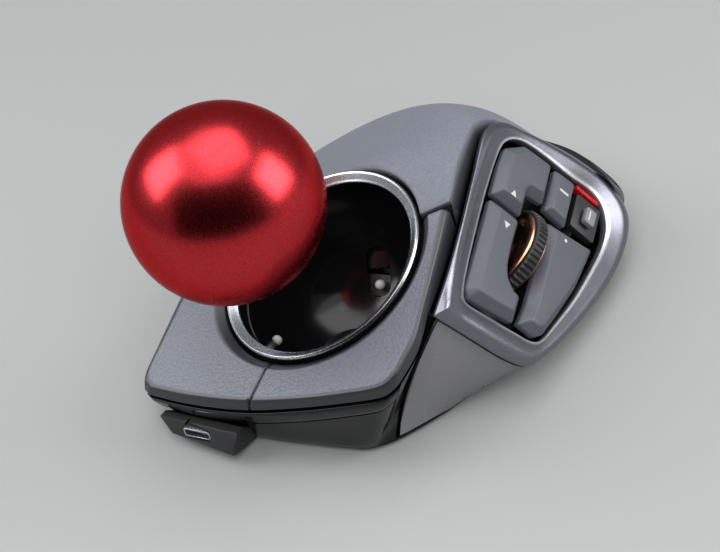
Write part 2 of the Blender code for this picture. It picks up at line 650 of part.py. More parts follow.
# Key outlines at the panel's surface, in its own frame (up, forward).
KEYS = {
    "back_key": [(12.8, -7.2), (13.0, -16.0), (12.6, -21.4), (7.6, -25.8), (-1.6, -26.4), (-2.0, -14.8),
                 (3.0, -13.9), (3.3, -13.2), (3.3, -7.2)],
    "forward_key": [(12.7, -5.8), (12.3, 19.6), (10.8, 21.6), (4.0, 20.7), (-2.4, 19.6), (-2.5, 12.2),
                    (0.4, 11.8), (2.2, 10.2), (3.0, 7.6), (3.3, 2.0), (3.3, -5.8)],
    "left_click_key": [(-4.7, -11.4), (-4.7, 12.6), (-3.8, 18.8), (-9.2, 18.9), (-11.4, 16.8),
                       (-14.4, 8.4), (-17.3, -0.8), (-19.4, -13.4), (-11.0, -12.2)],
    "speed_key": [(-2.8, -26.3), (-2.8, -13.9), (-9.9, -13.4), (-9.7, -26.6)]}
# Each key hinges along one edge: a point on it and the way the hinge runs.
KEY_PIVOTS = {"back_key": (12.4, -14.0, -0.4), "forward_key": (12.2, 7.0, -0.4),
              "left_click_key": (-15.0, 6.0, -0.4), "speed_key": (-3.4, -20.0, -0.4)}


def shrink(outline, distance):
    """The outline moved inwards by a distance, with its corners kept."""
    points = np.asarray(outline, float)
    before, after = np.roll(points, 1, 0), np.roll(points, -1, 0)
    area = 0.5 * np.sum(points[:, 0] * after[:, 1] - after[:, 0] * points[:, 1])
    turn = 1.0 if area > 0 else -1.0
    moved = []
    for a, p, b in zip(before, points, after):
        n1 = turn * np.array([-(p - a)[1], (p - a)[0]]) / np.linalg.norm(p - a)
        n2 = turn * np.array([-(b - p)[1], (b - p)[0]]) / np.linalg.norm(b - p)
        moved.append(p + distance * (n1 + n2) / max(0.4, 1.0 + n1 @ n2))
    return np.array(moved)


def build_thumb_keys():
    for name, outline in KEYS.items():
        bevel = KEY_BEVEL if name != "speed_key" else 1.2
        rise = KEY_RISE if name != "speed_key" else 1.8
        sections = [np.c_[np.array(outline), np.full(len(outline), -0.9)],
                    np.c_[np.array(outline), np.full(len(outline), 0.3)],
                    np.c_[shrink(outline, bevel), np.full(len(outline), rise)]]
        sweep(name, sections, CHARCOAL, panel, at=KEY_PIVOTS[name])


def build_panel_controls():
    prism("switch_bezel", rounded(-20.0, -11.9, -26.2, -16.4, 0.6, 2), -2.4, -0.4, BLACK, panel)
    prism("speed_switch", rounded(-17.6, -14.4, -23.2, -18.8, 0.4, 2), 0.0, 1.5, SLIDER, panel,
          at=(-16.0, -21.0, 0.0))
    prism("led_window", rectangle(-18.4, -11.0, -27.9, -26.9), -2.2, -0.2, LED_RED, panel)


def build_wheel():
    """Wheel, axle, rocking yoke, rocking pin and the carrier that the wheel presses down."""
    x, y, z = WHEEL_CENTRE
    hub = [(1.4, -WHEEL_HALF), (9.4, -WHEEL_HALF), (10.9, -WHEEL_HALF + 0.3), (10.9, -1.9), (9.6, -1.7),
           (9.6, 1.7), (10.9, 1.9), (10.9, WHEEL_HALF - 0.3), (9.4, WHEEL_HALF), (1.4, WHEEL_HALF)]
    turned("wheel_hub", hub, COPPER, panel, steps=28, axis=0, centre=WHEEL_CENTRE, at=WHEEL_CENTRE)
    sections = []
    ribs = 36
    for k in range(2 * ribs):
        spin = math.pi * k / ribs
        grip = WHEEL_RADIUS if k % 2 else WHEEL_RADIUS - 0.55
        rim = [(9.95, -1.55), (11.25, -1.65), (grip, -1.2), (grip, 1.2), (11.25, 1.65), (9.95, 1.55)]
        sections.append([(x + side, y + radius * math.cos(spin), z + radius * math.sin(spin))
                         for radius, side in rim])
    sweep("wheel_tyre", sections, RUBBER, panel, closed=True, at=WHEEL_CENTRE)
    rod = [(0.0, -4.5), (1.0, -4.5), (1.0, 4.5), (0.0, 4.5)]
    turned("wheel_axle", rod, STEEL, panel, steps=14, axis=0, centre=WHEEL_CENTRE, at=WHEEL_CENTRE)
    tilt_point = (x, y, TILT_DEPTH)
    across = [(-4.7, -3.6), (-3.3, -3.6), (-3.3, -18.9), (3.3, -18.9), (3.3, -3.6), (4.7, -3.6),
              (4.7, -21.6), (-4.7, -21.6)]
    yoke = sweep("wheel_yoke", [[(x + side, y + half, height) for side, height in across]
                                for half in (-3.2, 3.2)], BLACK, panel, at=tilt_point)
    cut(yoke, turned("cutter_axle", [(0, -6), (1.3, -6), (1.3, 6), (0, 6)], BLACK, panel, steps=14, axis=0,
                     centre=WHEEL_CENTRE, helper=True),
        turned("cutter_yoke_pin", [(0, -8), (1.1, -8), (1.1, 8), (0, 8)], BLACK, panel, steps=14, axis=1,
               centre=tilt_point, helper=True))
    along = [(-6.4, -18.4), (-4.0, -18.4), (-4.0, -22.2), (4.0, -22.2), (4.0, -18.4), (6.4, -18.4),
             (6.4, -23.6), (-6.4, -23.6)]
    carrier = sweep("wheel_carrier", [[(x + side, y + reach, height) for reach, height in along]
                                      for side in (-3.0, 3.0)], BLACK, panel, at=tilt_point)
    cut(carrier, turned("cutter_carrier_pin", [(0, -8), (1.1, -8), (1.1, 8), (0, 8)], BLACK, panel,
                        steps=14, axis=1, centre=tilt_point, helper=True))
    turned("tilt_pin", [(0.0, -6.2), (0.8, -6.2), (0.8, 6.2), (0.0, 6.2)], STEEL, panel, steps=12, axis=1,
           centre=tilt_point, at=tilt_point)
    # The yoke's top swings 0.64 mm towards the encoder when it rocks, so 1.1 mm is left for it.
    prism("scroll_encoder", rectangle(x - 9.6, x - 5.8, y - 3.0, y + 3.0), -9.6, -2.6, BLACK, panel)


# --- inner works -----------------------------------------------------------------------------
def micro_switch(name, frame, x, y, top, length=6.4, width=3.4, height=3.2):
    """A small push switch: a case with its plunger standing out of the top."""
    low = top - height
    body = rectangle(x - width / 2, x + width / 2, y - length / 2, y + length / 2)
    outline = np.array(body)
    inner = np.array(rectangle(x - 0.6, x + 0.6, y - 0.9, y + 0.9))
    levels = [(outline, low), (outline, top - 0.6), (inner, top - 0.6), (inner, top)]
    sections = [np.c_[shape, np.full(4, height)] for shape, height in levels]
    return sweep(name, sections, BLACK, frame)


def build_inner_works():
    notch = rectangle(-5.6, 5.2, -15.2, 12.6)
    board = prism("thumb_board", [(10.6, -20.0), (10.6, 17.0), (-6.0, 17.0), (-15.6, 5.0), (-18.4, -22.0),
                                  (-8.0, -24.6), (6.0, -23.6)], -8.4, -7.2, BOARD, panel)
    cut(board, hole("board_slot", notch, -10, -6, panel),
        hole("encoder_slot", rectangle(-10.8, -5.0, -5.0, 2.4), -10, -6, panel))
    micro_switch("switch_back", panel, 8.0, -14.5, -1.8, height=4.8)
    micro_switch("switch_forward", panel, 8.0, 5.0, -1.8, height=4.8)
    micro_switch("switch_left", panel, -9.0, 8.0, -1.8, height=4.8)
    micro_switch("switch_speed", panel, -8.0, -20.0, -1.8, height=4.8)
    micro_switch("switch_wheel", panel, WHEEL_CENTRE[0], WHEEL_CENTRE[1], -24.5, height=3.0)
    prism("main_board", rectangle(-13.0, 32.0, -27.0, -6.5), 7.6, 8.8, BOARD, mouse)
    for name, x, y in (("switch_right", 28.6, 34.0), ("switch_fn1", -26.1, 36.0), ("switch_fn2", 37.2, 11.0),
                       ("switch_fn3", 34.4, 2.8)):
        micro_switch(name, mouse, x, y, float(top_height(x, y)) - SHELL - 2.5)


def build_power():
    bar = [(0.0, -25.25), (6.9, -25.25), (7.25, -24.9), (7.25, 23.6), (6.9, 23.9), (2.7, 23.9),
           (2.7, 25.25), (0.0, 25.25)]
    middle = (2.0, -37.0, 10.4)
    turned("battery", bar, FOIL, mouse, steps=24, axis=0, centre=middle)
    corners = [(-42, 5), (-32, 5), (-32, 15), (-42, 15)]
    for name, near in (("contact_spring_side", -24.4), ("contact_button_side", 27.7)):
        plate = [[(x, y, z) for y, z in corners] for x in (near, near + 0.5)]
        sweep(name, plate, STEEL, mouse)
    prism("battery_cover", rounded(-27.0, 31.0, -46.0, -28.2, 1.5), BASE_Z, BASE_Z + 0.9, BLACK, mouse,
          at=(2.0, -37.0, BASE_Z))
    prism("usb_receiver", rounded(-7.0, 7.6, -55.2, -47.6, 1.0), FLOOR_Z + 0.4, FLOOR_Z + 5.2, BLACK, mouse)
    prism("mode_switch", rounded(-10.6, -5.4, -13.4, -11.0, 0.5, 2), BASE_Z + 0.1, 3.6, SLIDER, mouse,
          at=(-8.0, -12.2, BASE_Z))
    prism("pairing_button", circle(1.9, (10, -12.2), 16), BASE_Z + 0.1, 3.8, SLIDER, mouse,
          at=(10, -12.2, BASE_Z))
    for k, (x, y) in enumerate(SCREWS):
        turned(f"case_screw_{k + 1}", [(0.0, BASE_Z + 0.1), (2.3, BASE_Z + 0.1), (2.3, BASE_Z + 0.6),
                                       (1.2, BASE_Z + 0.8), (1.2, 7.0), (0.0, 7.0)], STEEL, mouse,
               steps=14, centre=(x, y, 0))


def build_usb():
    """The charging socket's housing: a wedge under the front edge, and the socket in it."""
    ends = []
    for x, lean, y, top in USB_ENDS:
        low = x + lean
        ends.append([(x, y, top), (low, y + 2.0, 3.4), (low, y + 0.8, 2.6), (low, 50.4, BASE_Z),
                     (low, 49.4, BASE_Z + 0.5), (x, y - 2.2, top)])
    housing = sweep("usb_housing", ends, BLACK, mouse)
    facing = make_empty("usb_frame", (18.6, 57.9, 5.2), (-0.08, 1.0, 0.0), (0, 0, 1), parent=mouse)
    cut(housing, hole("usb_slot", rounded(-4.0, 4.0, -1.6, 1.6, 0.6, 2), -0.4, 8, facing))
    port = prism("usb_port", rounded(-3.6, 3.6, -1.2, 1.2, 0.5, 2), 0.0, 2.6, SILVER, facing)
    cut(port, hole("usb_mouth", rounded(-3.2, 3.2, -0.8, 0.8, 0.3, 2), 0.4, 8, facing))


FEET = [(4.0, 46.6, 10.0, 2.2), (35.6, 8.0, 2.0, 9.0), (-31.8, -28.0, 2.0, 7.0),
        (36.2, -34.0, 2.0, 5.4)]


def build_feet():
    for k, (x, y, half_x, half_y) in enumerate(FEET):
        prism(f"foot_{k + 1}", rounded(x - half_x, x + half_x, y - half_y, y + half_y, 1.7), 0.0, 0.5,
              BLACK, mouse)


build_case()
build_belt()
build_skirt()
top_key("right_click", SPLIT_RIGHT, SPLIT_FRONT, (38.0, 10.0, 20.0))
top_key("fn1_button", SPLIT_FRONT, SPLIT_LEFT, (-24.0, 12.0, 38.0))
top_key("fn2_button", SPLIT_SMALL[1], SPLIT_SMALL[0], (34.0, 8.0, 24.0), inner=SMALL_KEY_INNER)
top_key("fn3_button", SPLIT_SMALL[2], SPLIT_SMALL[1], (32.0, 2.0, 26.0), inner=SMALL_KEY_INNER)
build_cover()
build_ring()
build_cup()
build_bearings()
build_ball()
build_thumb_frame()
build_thumb_keys()
build_panel_controls()
build_wheel()
build_inner_works()
build_power()
build_usb()
build_feet()
bpy.context.view_layer.update()
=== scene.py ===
# %% [markdown]
# # A trackball mouse with its ball lifted out
# The CAD model gives every piece its place, its size and its joint. This notebook gives each
# visible piece its fine surface and its finish. We load the frame first, because every later
# cell takes its place from it.
# %% Load the frame
import json
import math

import bmesh
import bpy
import numpy as np
from mathutils import Matrix, Vector

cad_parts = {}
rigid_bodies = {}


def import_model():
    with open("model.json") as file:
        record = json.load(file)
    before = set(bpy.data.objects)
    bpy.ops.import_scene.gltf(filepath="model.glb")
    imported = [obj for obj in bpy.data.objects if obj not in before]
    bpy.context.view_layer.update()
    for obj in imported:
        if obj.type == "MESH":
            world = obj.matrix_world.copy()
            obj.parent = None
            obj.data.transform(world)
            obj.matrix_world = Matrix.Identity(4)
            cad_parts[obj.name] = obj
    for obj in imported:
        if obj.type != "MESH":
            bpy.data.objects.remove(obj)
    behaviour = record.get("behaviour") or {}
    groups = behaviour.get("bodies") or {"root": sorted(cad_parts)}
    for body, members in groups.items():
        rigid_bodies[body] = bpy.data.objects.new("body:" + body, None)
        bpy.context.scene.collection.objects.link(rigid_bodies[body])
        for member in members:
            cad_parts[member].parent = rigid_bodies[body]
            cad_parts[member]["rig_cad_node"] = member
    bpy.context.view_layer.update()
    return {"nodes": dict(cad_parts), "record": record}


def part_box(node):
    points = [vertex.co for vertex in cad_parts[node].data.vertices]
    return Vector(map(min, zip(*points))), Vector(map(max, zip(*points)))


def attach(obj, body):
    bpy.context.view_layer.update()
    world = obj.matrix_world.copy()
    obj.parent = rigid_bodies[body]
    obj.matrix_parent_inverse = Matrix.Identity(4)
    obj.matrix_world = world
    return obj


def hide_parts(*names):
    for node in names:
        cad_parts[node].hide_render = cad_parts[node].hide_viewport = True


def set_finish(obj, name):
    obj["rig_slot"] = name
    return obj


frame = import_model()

nodes = frame["nodes"]

# %% [markdown]
# ## Driving sizes
# Designers of such a mouse start from the ball: the socket's ring and the palm shell follow from
# it. We do the same and keep the sizes in millimetres, where they are easy to read, and scale
# them to metres only when a mesh is made.
# %% Driving sizes
MM = 0.001
GAP = 0.3                        # clearance between neighbouring pieces
KEY_GAP = 0.7                    # groove under the top keys
BALL_RADIUS = 22.0
BALL_OUT = np.array([7.8, 43.9, 60.4])
SOCKET = np.array([1.8, 24.5, 32.5])
RING_OUTER, RING_INNER, RING_DEPTH = 25.3, 22.8, 1.7
TOP_OPENING = 26.1
SEAT_DEPTH = 6.2
CUP_INNER, CUP_OUTER, CUP_TOP = 23.2, 24.4, 3.5
FINGER_HOLE = 8.0
SHELL, WALL, SKIRT_DROP = 1.8, 1.8, 2.2
BASE_Z, FLOOR_Z = 0.8, 2.6
BELT_HEIGHT, BELT_THICK, SKIRT_THICK = 4.6, 1.4, 1.5
BODY_CENTRE = np.array([0.0, -4.0])


def unit(vector):
    """A vector, or each row of an array of them, scaled to length one."""
    vector = np.asarray(vector, float)
    return vector / np.linalg.norm(vector, axis=-1, keepdims=True)


SOCKET_OUT = unit((0.1678, 0.3919, 0.9045))
LIP_CENTRE = SOCKET - RING_DEPTH * SOCKET_OUT
BALL_PATH = unit(BALL_OUT - LIP_CENTRE)
BALL_SEAT = LIP_CENTRE - SEAT_DEPTH * BALL_PATH

PANEL_ORIGIN = np.array([-35.2, -2.5, 25.2])
PANEL_Z = unit((-0.8394, -0.049, 0.5413))
PANEL_X = unit(np.cross((-0.217, 0.9433, -0.2511), PANEL_Z))
PANEL_Y = np.cross(PANEL_Z, PANEL_X)
WHEEL_CENTRE = np.array([-0.7, -1.3, -6.2])

ball_low, ball_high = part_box("ball_core")
SHIFT = (np.array(ball_low) + np.array(ball_high)) / 2 / MM - BALL_OUT
print("the frame's origin is shifted by", SHIFT.round(2), "mm; the ball seats at", BALL_SEAT.round(1))

# %% [markdown]
# ## From arrays to meshes
# Blender builds a mesh from points and faces. Our surfaces are grids: rows of sections, each with
# the same number of points. One helper turns such a grid into a closed skin. It merges doubled
# points, because poles and seams repeat them, and makes the faces point outwards. Sharp edges are
# found by their angle, so that flat faces stay crisp and round ones smooth.
# %% From arrays to meshes


def add_object(name, data):
    """A new object at the origin, linked to the scene."""
    thing = bpy.data.objects.new(name, data)
    bpy.context.scene.collection.objects.link(thing)
    return thing


def make_piece(name, points, faces, body, slot, replaces=(), sharp=38.0, marks=None):
    """A closed mesh from points in mm; `marks` are named values per point that a finish can read.

    A piece that replaces frame nodes is their fine skin, and its name says so."""
    name = name + "_skin" if replaces else name
    mesh = bpy.data.meshes.new(name)
    mesh.from_pydata(((np.asarray(points, float) + SHIFT) * MM).tolist(), [], faces)
    for label, values in (marks or {}).items():
        layer = mesh.attributes.new(label, "FLOAT", "POINT")
        layer.data.foreach_set("value", np.asarray(values, np.float32).ravel())
    shape = bmesh.new()
    shape.from_mesh(mesh)
    bmesh.ops.remove_doubles(shape, verts=shape.verts, dist=1.5e-6)
    bmesh.ops.dissolve_degenerate(shape, edges=shape.edges, dist=1e-6)
    bare = [edge for edge in shape.edges if not edge.link_faces]      # left between two poles
    bmesh.ops.delete(shape, geom=bare, context="EDGES")
    bmesh.ops.recalc_face_normals(shape, faces=shape.faces)
    shape.to_mesh(mesh)
    shape.free()
    mesh.shade_smooth()
    mesh.set_sharp_from_angle(angle=math.radians(sharp))
    piece = add_object(name, mesh)
    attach(piece, body)
    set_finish(piece, slot)
    if replaces:
        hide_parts(*replaces)
    return piece


def grid_faces(rows, columns, loop):
    """Four-sided faces of a grid whose columns close on themselves, and its rows too if `loop`."""
    row = np.arange(rows if loop else rows - 1)[:, None] * columns
    column = np.arange(columns)[None]
    after, above = (column + 1) % columns, (row + columns) % (rows * columns)
    return np.stack([row + column, row + after, above + after, above + column], -1).reshape(-1, 4)


def sweep(name, sections, body, slot, loop=False, **options):
    """A skin over equal sections; if they don't loop, the first and last are closed by a face."""
    sections = np.asarray(sections, float)
    rows, columns = sections.shape[:2]
    faces = grid_faces(rows, columns, loop).tolist()
    if not loop:
        faces += [list(range(columns))[::-1], list(range((rows - 1) * columns, rows * columns))]
    return make_piece(name, sections.reshape(-1, 3), faces, body, slot, **options)


def turned(name, profile, centre, axis, body, slot, steps=128, **options):
    """A profile of (radius, height) carried round an axis through a centre."""
    axis = unit(axis)
    side = unit(np.cross(axis, (0.31, 0.95, 0.1)))
    ahead = np.cross(axis, side)
    spin = np.linspace(0, 2 * np.pi, steps, endpoint=False)[:, None, None]
    radius, height = np.asarray(profile, float).T[:, None, :, None]
    sections = centre + radius * (np.cos(spin) * side + np.sin(spin) * ahead) + height * axis
    return sweep(name, sections, body, slot, loop=True, **options)


def from_panel(points):
    """Points given in the thumb panel's frame, up, forward and out, moved to the body's frame."""
    points = np.asarray(points, float)
    return (PANEL_ORIGIN + points[..., :1] * PANEL_X + points[..., 1:2] * PANEL_Y
            + points[..., 2:3] * PANEL_Z)


# %% [markdown]
# ## Curves
# Two kinds of curve make every outline. A spline runs smoothly through given points, and breaks
# only at named corners. A rounded path keeps its straight runs and replaces each corner by a small
# arc, as a moulded edge has; the arc is a quadratic Bezier curve, whose three points are the corner
# and one point on each side of it.
# %% Curves


def spline(points, corners=(), step=4.0):
    """A closed Catmull-Rom curve in pieces about `step` long.

    Between two points it is the cubic whose slope at each is half the step between neighbours."""
    pts = np.asarray(points, float)
    count = len(pts)
    curve = []
    for i in range(count):
        p1, p2 = pts[i], pts[(i + 1) % count]
        p0 = p1 if i in corners else pts[(i - 1) % count]
        p3 = p2 if (i + 1) % count in corners else pts[(i + 2) % count]
        t = np.linspace(0, 1, max(1, round(np.linalg.norm((p2 - p1)[:3]) / step)), endpoint=False)[:, None]
        curve.append(p1 + 0.5 * t * ((p2 - p0) + t * ((2 * p0 - 5 * p1 + 4 * p2 - p3)
                                                     + t * (3 * (p1 - p2) + p3 - p0))))
    return np.vstack(curve)


def rounded_path(points, radii, steps=5):
    """Closed paths (..., corners, axes) with each corner replaced by a Bezier arc of its radius."""
    points = np.asarray(points, float)
    before, after = np.roll(points, 1, -2), np.roll(points, -1, -2)
    t = np.linspace(0, 1, steps)[:, None]
    pieces = []
    for k, radius in enumerate(radii):
        corner = points[..., k:k + 1, :]
        back, ahead = before[..., k:k + 1, :] - corner, after[..., k:k + 1, :] - corner
        if radius == 0:
            pieces.append(corner)
            continue
        size_back = np.maximum(np.linalg.norm(back, axis=-1, keepdims=True), 1e-9)
        size_ahead = np.maximum(np.linalg.norm(ahead, axis=-1, keepdims=True), 1e-9)
        start = corner + back * np.minimum(radius / size_back, 0.48)
        end = corner + ahead * np.minimum(radius / size_ahead, 0.48)
        pieces.append((1 - t) ** 2 * start + 2 * t * (1 - t) * corner + t ** 2 * end)
    return np.concatenate(pieces, axis=-2)


def ring_arc(radius, centre, start, end, steps):
    """Points (radius, height) of an arc of a section, from one angle to another in degrees."""
    spin = np.radians(np.linspace(start, end, steps))
    return np.c_[centre[0] + radius * np.cos(spin), centre[1] + radius * np.sin(spin)]


print("a rounded square has", rounded_path([(0, 0), (1, 0), (1, 1), (0, 1)], [0.2] * 4).shape[0], "points")

# %% [markdown]
# ## The palm surface
# Seen from the side, the body is a flat deck that leans forward round the socket and runs into a
# hump for the palm. We describe it as a height over the plan: the lower of the deck's plane and
# the hump, blended so that no crease shows where they meet.
# %% The palm surface
HUMP_HEIGHT, HUMP_RIDGE_X, HUMP_RIDGE_Y = 47.4, -18.1, -19.5


def ramp(value, softness):
    """Zero below 0 and the value above, with a soft bend: half of v + sqrt(v^2 + s^2)."""
    return 0.5 * (value + np.sqrt(value * value + softness * softness))


def top_height(x, y):
    """Soft minimum of the deck and the hump; the hump falls like a circle to each side."""
    deck = SOCKET[2] - (SOCKET_OUT[0] * (x - SOCKET[0]) + SOCKET_OUT[1] * (y - SOCKET[1])) / SOCKET_OUT[2]
    across = 0.864 * (np.sqrt((x - HUMP_RIDGE_X) ** 2 + 39.4 ** 2) - 39.4)
    back = 1.276 * (np.sqrt(ramp(HUMP_RIDGE_Y - y, 3.0) ** 2 + 17.5 ** 2) - 17.5)
    corner = 18.0 * np.tanh(ramp(-13.3 - x, 4.0) / 18.0) * np.tanh(ramp(-16.5 - y, 4.0) / 20.0)
    hump = HUMP_HEIGHT - np.sqrt(across ** 2 + back ** 2) - corner
    return 0.5 * (deck + hump - np.sqrt((deck - hump) ** 2 + 4.0))


print("deck height beside the socket:", top_height(25.0, 40.0).round(1), "mm")

# %% [markdown]
# ## The thumb frame's line and the seam
# A painted frame surrounds the thumb keys, and the lower case follows its underside on that side.
# So the frame's stations come first: each gives the inner edge, the outer crest and how far the
# outer side drops. The seam then joins the frame's foot to points along the front, right and back.
# %% The thumb frame's line and the seam
FRAME_STATIONS = [
    ((13.6, -19.6), (19.0, -22.0, 0.4), 2.6), ((14.0, -8.0), (19.2, -8.0, 1.4), 2.6),
    ((13.6, 6.0), (18.8, 7.0, 1.9), 2.6), ((12.8, 18.0), (18.2, 20.0, 1.3), 2.4),
    ((12.0, 21.6), (17.9, 30.8, 0.0), 1.8), ((10.2, 22.6), (12.6, 29.8, -0.6), 1.5),
    ((3.0, 21.8), (5.0, 29.0, -0.6), 1.5), ((-4.0, 20.8), (-3.4, 28.0, -0.6), 1.5),
    ((-9.0, 19.9), (-9.8, 26.2, -0.4), 1.6), ((-11.8, 17.6), (-13.0, 22.6, 0.0), 1.8),
    ((-14.6, 10.8), (-17.4, 14.6, 0.5), 2.0), ((-18.0, 1.6), (-22.6, 3.0, 0.8), 2.2),
    ((-21.0, -9.4), (-26.6, -8.0, 0.9), 2.4), ((-22.6, -17.0), (-28.8, -18.0, 1.0), 2.4),
    ((-22.4, -23.4), (-29.0, -26.6, 1.0), 2.4), ((-19.4, -27.6), (-26.6, -32.0, 0.9), 2.4),
    ((-14.6, -29.2), (-19.6, -35.0, 0.6), 2.4), ((-7.0, -28.4), (-10.0, -35.0, 0.2), 2.4),
    ((1.0, -28.2), (-1.0, -33.4, -0.2), 2.4), ((8.0, -27.2), (7.4, -31.0, -0.2), 2.4),
    ((12.0, -24.4), (14.6, -28.4, 0.0), 2.4)]
SEAM_FRONT = [(35.2, 56.2, 9.4, 31.0, 50.5), (33.0, 57.4, 9.6, 29.0, 51.8), (20, 58.4, 11.3, 19, 53.2),
              (4, 58.3, 14.2, 5, 52.0), (-12, 56.4, 18.2, -8.4, 49.6), (-26.5, 53.4, 22.0, -15.5, 48.0),
              (-30.6, 51.8, 23.2, -18.0, 47.3), (-32.4, 49.0, 24.6, -20.0, 46.2),
              (-33.0, 41.0, 27.6, -22.0, 44.6)]
SEAM_BACK = [(-38, -48.2, 10.4, -30, -47), (-31, -54, 10.8, -25, -51.5), (-20, -60, 11.0, -17, -56),
             (-4, -63.8, 11.0, -4, -58.4), (12, -63.2, 10.8, 10, -58), (27, -57.6, 10.6, 24, -53.6),
             (38, -47.5, 10.4, 34.5, -45), (44.4, -34, 10.2, 40.4, -33), (46.9, -18, 10.0, 42.6, -18),
             (46.3, 0, 9.6, 42.2, 0), (43.8, 18, 9.2, 39.6, 18), (40.2, 34, 9.0, 36.4, 33),
             (37.6, 48, 9.0, 33.8, 44.5), (36.6, 53.6, 9.2, 32.4, 48.6)]
BASE_LEFT = [(-23.6, 42.6), (-24.8, 40.6), (-26.6, 37.0), (-28.4, 33.0), (-29.6, 30.0), (-30.8, 26.0),
             (-32.4, 18.0), (-34.6, 7.0), (-36.4, -6.0), (-37.2, -18), (-36.6, -29), (-34.0, -40.0)]
SEAM_CORNERS = (0, 1, 5, 7, 9, 20)
FRONT_BELT, SIDE_SKIRT = (0, 7), (9, 20)
FIRST_FOOT = 4                   # the frame station where the seam meets the frame


def frame_foot(k, gap):
    """The frame's lower outer edge at a station, moved outwards by a gap."""
    inner, (x, y, z), drop = FRAME_STATIONS[k]
    way = unit(np.array([x, y]) - inner)
    return from_panel((x + gap * way[0], y + gap * way[1], z - drop))


SEAM = SEAM_FRONT + [(*(frame_foot(FIRST_FOOT + k, -0.6) - (0, 0, GAP)), *base)
                     for k, base in enumerate(BASE_LEFT)] + SEAM_BACK
seam = spline(SEAM, SEAM_CORNERS, step=1.5)


def seam_index(point):
    """The place of one of the SEAM points in the fine seam."""
    return int(np.argmin(np.linalg.norm(seam - np.array(SEAM[point]), axis=1)))


hollow = np.interp(np.arange(len(seam)), [seam_index(k) for k in (6, 10, 19, 21)], [0, 1, 1, 0])
wall_power = 0.85 + 0.75 * hollow


def body_points(rows, heights, inset=0.0):
    """Wall points under the seam: base + (seam - base) * rise^power, moved inwards by the inset.

    The rise is the share of the way up; a power above one makes the side hollow."""
    rows, heights = np.asarray(rows)[:, None], np.asarray(heights, float)
    base, top = seam[rows, 3:], seam[rows, :2]
    rise = np.clip((heights - BASE_Z) / (seam[rows, 2] - BASE_Z), 0, 1) ** wall_power[rows]
    spot = base + (top - base) * rise[..., None]
    spot = spot + np.broadcast_to(inset, heights.shape)[..., None] * unit(BODY_CENTRE - spot)
    return np.concatenate([spot, heights[..., None]], -1)


print("the seam has", len(seam), "places and runs", round(np.ptp(seam[:, 1]), 1), "mm from front to back")

# %% [markdown]
# ## The top's outline
# Four keys and the palm cover share one outline. Seen from the socket, every direction meets that
# outline once, so a key is a sector between two directions, and it is easy to ask how far away
# its edge is. All directions are tested against all pieces of the outline at once.
# %% The top's outline
FRAME_SIDE = [(4, 0.3), (3, 1.8), (2, 2.6), (1, 2.8), (0, 2.8), (20, 2.8), (19, 2.6), (18, 2.0), (17, 1.2),
              (16, 0.5), (15, 0.0)]
back_count, front_count = len(SEAM_BACK), len(SEAM_FRONT)
left_points = [tuple(frame_foot(k, 0.5) - (0, 0, tuck)) for k, tuck in FRAME_SIDE]
outline = spline([p[:3] for p in SEAM_BACK + SEAM_FRONT] + left_points,
                 [back_count + k for k in (0, 1, 5, 7)] + [back_count + front_count + k for k in (0, 4)],
                 step=1.0)
outline[:, 2] += KEY_GAP


def outline_at(angles):
    """For each direction from the socket, the distance to the outline, its lower edge and its place.

    A direction crosses a piece whose ends lie on opposite sides of it; the nearest one counts."""
    way = np.c_[np.cos(angles), np.sin(angles)][:, None]
    rel = (outline[:, :2] - SOCKET[:2])[None]
    side = rel[..., 0] * way[..., 1] - rel[..., 1] * way[..., 0]
    ahead = (rel * way).sum(-1)
    side_next, ahead_next = np.roll(side, -1, 1), np.roll(ahead, -1, 1)
    t = side / np.where(side == side_next, 1.0, side - side_next)
    reach = ahead + t * (ahead_next - ahead)
    reach = np.where((side * side_next <= 0) & (side != side_next) & (reach > 0), reach, np.inf)
    piece = reach.argmin(1)
    share = np.take_along_axis(t, piece[:, None], 1)[:, 0]
    low = outline[piece, 2] + share * (np.roll(outline[:, 2], -1)[piece] - outline[piece, 2])
    return reach.min(1), low, piece


def opening_radius(angles):
    """Plan distance to the socket's tilted round opening: r / sqrt(1 + slope^2)."""
    slope = (SOCKET_OUT[0] * np.cos(angles) + SOCKET_OUT[1] * np.sin(angles)) / SOCKET_OUT[2]
    return TOP_OPENING / np.sqrt(1 + slope ** 2)


def lean(points, surface, near):
    """Skirt points slide along the socket's axis as they go down, where `near` is true."""
    slide = np.where(near, np.maximum(surface - points[..., 2], 0), 0)[..., None] / SOCKET_OUT[2]
    moved = points.copy()
    moved[..., :2] -= slide * SOCKET_OUT[:2]
    return moved


print("the outline is", round(outline[:, 1].max() - outline[:, 1].min(), 1), "mm long")

# %% [markdown]
# ## Top keys
# A moulded key is a thin shell: a pebbled top, a smooth bevel beside the ring, a smooth sloping
# front edge and turned-in skirts. Each section runs once round that shell. The edges at the splits
# fall away in a small fillet, so that the dark line between two keys reads as two soft edges. Each
# point also carries a mark that says how far it belongs to the smooth border; the finish uses it to
# fade out the pebble there and to darken the border as painted shade.
# %% Top keys
SPLIT_FRONT, SPLIT_LEFT, SPLIT_RIGHT = math.radians(88.5), math.radians(209.5), math.radians(-14.0)
SPLIT_SMALL = [math.radians(a) for a in (-14.0, -27.0, -40.0)]
SMALL_KEY_INNER = 33.5
FILLET = 0.7


def fillet_drop(distance):
    """Depth of a quarter-round edge at a distance from it: r - sqrt(r^2 - (r - d)^2)."""
    inside = np.clip(FILLET - distance, 0, FILLET)
    return FILLET - np.sqrt(np.maximum(FILLET ** 2 - inside ** 2, 0))


